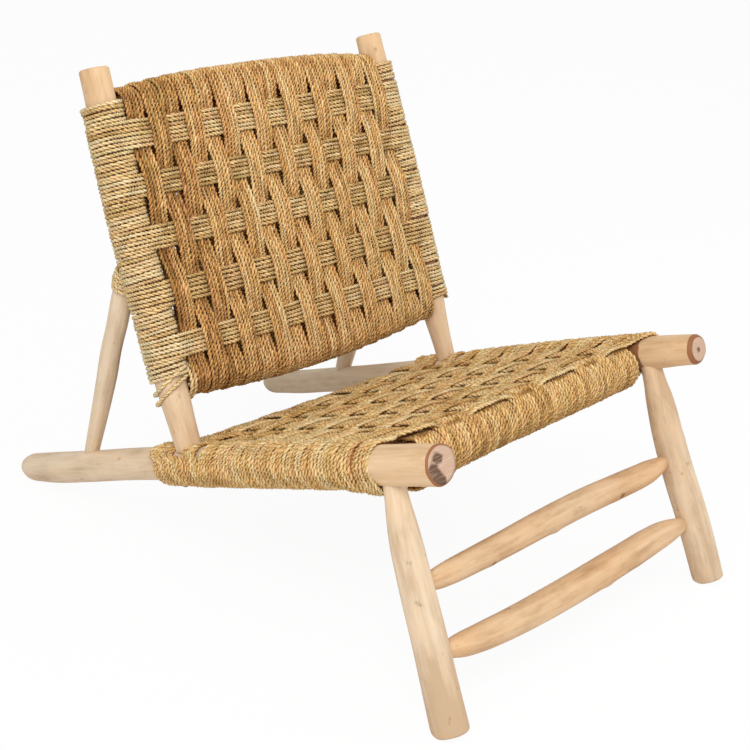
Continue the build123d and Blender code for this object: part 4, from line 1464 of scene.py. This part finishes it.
def coil(surface: Surface, axis: Array, ends: Tuple[float, float], radius: float, seed: float,
         pitch: float = TURN, middle: float = 0.5, tilt: float = 0.0,
         swell: Course = ((0.0, 0.0),)) -> None:
    """Turns of cord round a branch: a helix about the branch's centre line.

    Args:
        surface: What the cord is added to.
        axis: The branch's centre line.
        ends: Lengths along the branch where the turns begin and end.
        radius: Radius of the cord's middle.
        seed: A number that sets drift and shades.
        pitch: Wanted advance per turn, rounded so that whole turns fit.
        middle: Mean shade.
        tilt: How far each turn rises on the side towards the front right.
        swell: Growth of the radius at lengths along the branch.
    """
    start, end = ends
    count = max(1, int(round((end - start) / pitch)))
    advance = (end - start) / count
    q = turned(count, radius)
    at = lengths(axis)
    along = q * 2 * np.pi * radius
    angle = 2 * np.pi * q + 0.7
    lie = start + advance * q + wander(along, seed, 0.9, 260.0) - tilt * np.cos(angle - 0.82)
    centre = sampled(axis, at, lie)
    tangent = unit(sampled(unit(np.gradient(axis, axis=0)), at, lie))
    across = unit(ACROSS_X - tangent * tangent[:, :1])
    other = np.cross(tangent, across)
    reach = radius + wander(along, seed + 4, 0.7, 130.0) + graded(swell, lie)
    line = centre + (reach * np.cos(angle))[:, None] * across + (reach * np.sin(angle))[:, None] * other
    shade = tones(count + 1, int(abs(seed) * 10), middle, 0.3)[np.floor(q).astype(int)]
    TWINE.sweep(surface, line, tangent, shade, seed)


@dataclass
class Back:
    """The woven back: upright groups over both bars, rows round both posts.

    `drops` are the rows' middles down the posts, `row_cords` and `row_spacing` their
    numbers of cords and the cords' pitch. `wave` and `row_wave` are how far upright cords
    and rows rise and dive, `half` how far on each side of a row an upright group keeps its
    height, `rear_girth` how much thicker cords are drawn behind, and `left_shades` the
    tones of the browner groups on the left, by their numbers. `post_turns` and `top_turns`
    are the stretches of the posts that carry turns.
    """

    count: int = 16
    pitch: float = 31.1
    middle: float = -0.4
    cords: int = 5
    drops: Tuple[float, ...] = (100.0, 170.6, 244.4, 323.4, 398.3)
    row_cords: Tuple[int, ...] = (7, 6, 6, 6, 6)
    row_spacing: Tuple[float, ...] = (5.75, 5.7, 5.7, 6.2, 5.7)
    wave: float = 4.2
    row_wave: float = 1.5
    half: float = 14.0
    bar_radius: float = 22.0
    post_radius: float = 23.4
    rear_girth: float = 1.4
    post_turns: Tuple[float, float] = (62.0, 441.0)
    top_turns: Tuple[float, float] = (50.5, 62.0)
    strut_radius: float = 17.2
    left_shades: Dict[int, float] = field(default_factory=lambda: {1: 0.18, 2: 0.12, 3: 0.24, 4: 0.42})

    def build(self) -> None:
        """Makes every back group, the rows and the posts' turns."""
        for index in range(1, self.count + 1):
            self.warp_group(index)
        for row in range(1, len(self.drops) + 1):
            self.weft_row(row)
        for side in Side:
            self.wrap_post(side)

    @property
    def bulges(self) -> Dict[Side, List[Tuple[float, float]]]:
        """How much thicker the rope lies on each post at drops down it."""
        return {
            Side.LEFT: [(60, 0.0), (100, 0.9), (250, 0.4), (450, 0.0)],
            Side.RIGHT: [(60, -1.0), (100, -0.8), (150, 0.6), (200, 2.2), (280, 2.4), (350, 0.6),
                         (450, 0.0)],
        }

    def bulge(self, side: Side, drop: float) -> float:
        """The rope's extra thickness on a post at one drop."""
        return float(graded(self.bulges[side], drop))

    def group_x(self, index: int) -> float:
        """Middle of an upright group."""
        return self.middle + (index - (self.count + 1) / 2) * self.pitch

    def warp_loop(self, index: int) -> Array:
        """The closed line of an upright group round both back bars.

        Args:
            index: Number of the group, from the left.

        Returns:
            Points (drop, front), from the middle of the rear side.
        """
        x = self.group_x(index)
        top, bottom = TOP_BOW.drop(x), BOTTOM_BOW.drop(x)
        front = []
        for row, drop in enumerate(self.drops, start=1):
            over = not even(index, row)
            level = BACK_LEVEL + (self.wave if over else -self.wave)
            front += [(drop - self.half, level), (drop + self.half, level)]
            if over:
                front.insert(-1, (drop, level + 0.8))
        rear = [(drop, -BACK_LEVEL - 0.75 * (level - BACK_LEVEL)) for drop, level in front]
        half = len(rear) // 2
        radius = self.bar_radius + CORD
        points = np.vstack([
            list(reversed(rear[:half])),
            arc((top, 0.0), radius, 264, 96, 9),
            front,
            arc((bottom, 0.0), radius, 84, -84, 9),
            list(reversed(rear[half:])),
        ])
        return through(points, TWINE.step / 2, closed=True)

    def warp_group(self, index: int) -> None:
        """One upright group of cords, a little narrower where it crosses a row.

        Args:
            index: Number of the group, from the left. The first ones are browner.
        """
        x = self.group_x(index)
        widths = [(0.0, 6.15), (40.0, 6.1)]
        for row, drop in enumerate(self.drops, start=1):
            waist = 5.6 if even(index, row) else 5.8
            widths += [(drop - 28, 6.0), (drop, waist), (drop + 28, 6.0)]
        widths += [(440.0, 6.15), (470.0, 6.15)]
        shade = self.left_shades.get(index, 0.56)
        Winding(
            self.warp_loop(index), self.cords,
            lambda drop, front: np.where(front > 0, graded(widths, drop), 6.27),
            lambda drop, front, side: BACK.place(x + side, drop, front),
            # Painted shade: the cords are darker where they dive and on the rear side.
            ACROSS_X, seed=120.0 + index, shade=painted_sheet_shade(BACK_LEVEL, self.wave, 0.2), reach=0.6,
            girth=lambda drop, front: 1.0 + (self.rear_girth - 1.0) * ease(-front, 0.0, 15.0),
        ).settle(f"back_warp_{index:02d}", Fibre.WARP_ROPE, tones(self.cords, 300 + index, shade, 0.26))

    def weft_row(self, row: int) -> None:
        """One row of cords round both posts.

        Args:
            row: Number of the row, from the top.
        """
        drop = self.drops[row - 1]
        front = []
        for index in range(1, self.count + 1):
            level = BACK_LEVEL + (self.row_wave if even(index, row) else -self.row_wave)
            front.append((self.group_x(index), level))
        rear = [(x, -level) for x, level in front]
        radius = self.post_radius + CORD
        half = len(rear) // 2
        points = np.vstack([
            list(reversed(rear[:half])),
            arc((-269.5, 0.0), radius + self.bulge(Side.LEFT, drop), 268, 92, 10),
            front,
            arc((270.5, 0.0), radius + self.bulge(Side.RIGHT, drop), 88, -88, 10),
            list(reversed(rear[half:])),
        ])
        cords, pitch = self.row_cords[row - 1], self.row_spacing[row - 1]
        Winding(
            through(points, TWINE.step / 2, closed=True), cords,
            lambda x, front: np.full_like(x, pitch),
            lambda x, front, side: BACK.place(x, drop + side, front),
            BACK_DOWN, seed=160.0 + row, reach=0.45,
            # Painted shade: rows are darker between the posts than round them.
            shade=lambda x, front: -0.3 * (1 - ease(np.abs(x), 232.0, 244.0)),
        ).settle(f"back_weft_{row}", Fibre.STRAW_ROPE, tones(cords, 400 + row, 0.55, 0.3))

    def wrap_post(self, side: Side) -> None:
        """Turns on a post between the rows, and the lashing on the strut's head.

        The left post also has a slanting turn at its foot, and turns on the end of the
        bottom bar beside it.

        Args:
            side: Which post.
        """
        axis = POST_SMOOTH[side]
        radius = self.post_radius + CORD
        halves = [cords * pitch / 2 - 0.1 for cords, pitch in zip(self.row_cords, self.row_spacing)]
        starts = [self.post_turns[0]] + [drop + half for drop, half in zip(self.drops, halves)]
        ends = [drop - half for drop, half in zip(self.drops, halves)] + [self.post_turns[1]]
        surface = Surface()
        for number, stretch in enumerate(zip(starts, ends)):
            coil(surface, axis, stretch, radius, 180.0 + 10 * side.sign + number, middle=0.55,
                 swell=self.bulges[side])
        loose = 1.4 if side is Side.LEFT else -0.9
        coil(surface, axis, self.top_turns, radius + loose, 187.0 + side.sign, middle=0.45)
        if side is Side.LEFT:
            coil(surface, axis, (438.0, 466.0), radius - 0.8, 189.0, pitch=14.0, middle=0.9, tilt=12.0)
            x = np.linspace(-255.0, -236.0, 7)
            end = BACK.place(x, BOTTOM_BOW.drop(x) + 4.0, np.zeros(7))
            coil(surface, evenly(end, 2.0), (2.0, 16.0), self.bar_radius + 3.9, 191.0, pitch=5.6)
        head = {Side.LEFT: [(-269.4, 601.0, 427.0), (-269.3, 608.0, 408.0), (-269.2, 615.0, 388.0)],
                Side.RIGHT: [(269.6, 601.0, 427.0), (269.6, 608.0, 408.0), (269.7, 615.0, 388.0)]}[side]
        line = through(head, 4.0)
        coil(surface, line, (4.0, lengths(line)[-1] - 4.0), self.strut_radius, 195.0 + side.sign, middle=0.55)
        settle_rope(f"{side.value}_post_binding", Fibre.STRAW_ROPE, surface)


# --- studio -----------------------------------------------------------------------------
WHITE = (1.0, 1.0, 1.0, 1.0)


def stand(name: str, data: Union[bpy.types.Camera, bpy.types.Light], axes: Sequence[Array],
          place: Sequence[float]) -> bpy.types.Object:
    """Puts a camera or a lamp in the scene.

    Args:
        name: Name of the object.
        data: The camera or the light.
        axes: Its way right, its way up and its way back, away from what it faces.
        place: Where it stands, in metres.

    Returns:
        The new object.
    """
    piece = bpy.data.objects.new(name, data)
    matrix = np.eye(4)
    matrix[:3, :3] = np.stack(axes, axis=1)
    matrix[:3, 3] = place
    piece.matrix_world = Matrix(matrix.tolist())
    bpy.context.scene.collection.objects.link(piece)
    return piece


@dataclass
class Studio:
    """Camera, lamps, world and floor. The camera's `place` is in the maker's frame."""

    lens: float = 70.69
    azimuth: float = -46.899
    elevation: float = 22.215
    roll: float = 2.746
    place: Tuple[float, float, float] = (-1466.94, -1002.0, 1086.42)
    aim: Tuple[float, float, float] = (0.0, 0.0, 0.35)
    ambient: float = 0.62
    floor_glow: float = 0.94
    floor_half: float = 30.0
    floor_drop: float = 0.0004

    def build(self) -> None:
        """Sets up the view, the light and the floor."""
        self.camera()
        self.lamp("key", (-1.9, -1.5, 2.6), 1.6, 62.0)
        self.lamp("fill", (2.2, -1.9, 1.6), 2.2, 22.0)
        self.world()
        self.floor()
        bpy.context.scene.view_settings.view_transform = "Standard"

    def camera(self) -> None:
        """A camera at its place, turned by azimuth, elevation and roll."""
        azimuth, elevation = math.radians(self.azimuth), math.radians(self.elevation)
        roll = math.radians(self.roll)
        back = np.array([
            math.sin(azimuth) * math.cos(elevation),
            -math.cos(azimuth) * math.cos(elevation),
            math.sin(elevation),
        ])
        level = unit(np.cross(-back, UP_Z))
        upright = np.cross(level, -back)
        right = math.cos(roll) * level + math.sin(roll) * upright
        top = -math.sin(roll) * level + math.cos(roll) * upright
        data = bpy.data.cameras.new("camera")
        data.lens = self.lens
        data.sensor_width = 36.0
        data.clip_start, data.clip_end = 0.1, 50.0
        bpy.context.scene.camera = stand("camera", data, (right, top, back), to_frame(np.array(self.place)))

    def lamp(self, name: str, place: Sequence[float], size: float, power: float) -> None:
        """A round lamp that faces the point `aim`.

        Args:
            name: Name of the lamp.
            place: Where it stands, in metres.
            size: Its width in metres.
            power: Its power in watts.
        """
        data = bpy.data.lights.new(name, "AREA")
        data.shape = "DISK"
        data.size = size
        data.energy = power
        back = unit(np.array(place) - np.array(self.aim))
        side = unit(np.cross(UP_Z, back))
        stand(name, data, (side, np.cross(back, side), back), place)

    def world(self) -> None:
        """White to the camera and in reflections, softer as light on the chair."""
        world = bpy.data.worlds.new("studio")
        graph = Graph(world)
        path = graph.node("ShaderNodeLightPath", {}, {})
        seen = graph.maths("MAXIMUM", path.outputs["Is Camera Ray"], path.outputs["Is Glossy Ray"])
        strength = self.ambient + seen * (1.0 - self.ambient)
        sky = graph.node("ShaderNodeBackground", {}, {"Color": WHITE, "Strength": strength})
        graph.node("ShaderNodeOutputWorld", {}, {"Surface": sky.outputs["Background"]})
        bpy.context.scene.world = world

    def floor(self) -> None:
        """A pale floor, mostly glowing white to the camera, that keeps a soft shadow."""
        half = self.floor_half
        corners = ((-half, -half), (half, -half), (half, half), (-half, half))
        mesh = bpy.data.meshes.new("floor")
        mesh.from_pydata([(x, y, -self.floor_drop) for x, y in corners], [], [(0, 1, 2, 3)])
        floor = bpy.data.objects.new("floor", mesh)
        bpy.context.scene.collection.objects.link(floor)
        graph = Graph(bpy.data.materials.new("pale_floor"))
        seen = Wire(graph, graph.node("ShaderNodeLightPath", {}, {}).outputs["Is Camera Ray"])
        plain = graph.node("ShaderNodeBsdfDiffuse", {}, {"Color": (0.9, 0.9, 0.9, 1.0)})
        glow = graph.node("ShaderNodeEmission", {}, {"Color": WHITE, "Strength": 1.0})
        mix = graph.node(
            "ShaderNodeMixShader", {}, {0: seen * self.floor_glow, 1: plain.outputs[0], 2: glow.outputs[0]}
        )
        graph.node("ShaderNodeOutputMaterial", {}, {"Surface": mix.outputs[0]})
        mesh.materials.append(graph.owner)


def main() -> None:
    """Builds the studio, the branches and the rope."""
    logging.basicConfig(level=logging.INFO, format="%(name)s: %(message)s")
    Studio().build()
    Woodwork().build()
    Seat().build()
    Back().build()


if __name__ == "__main__":
    main()
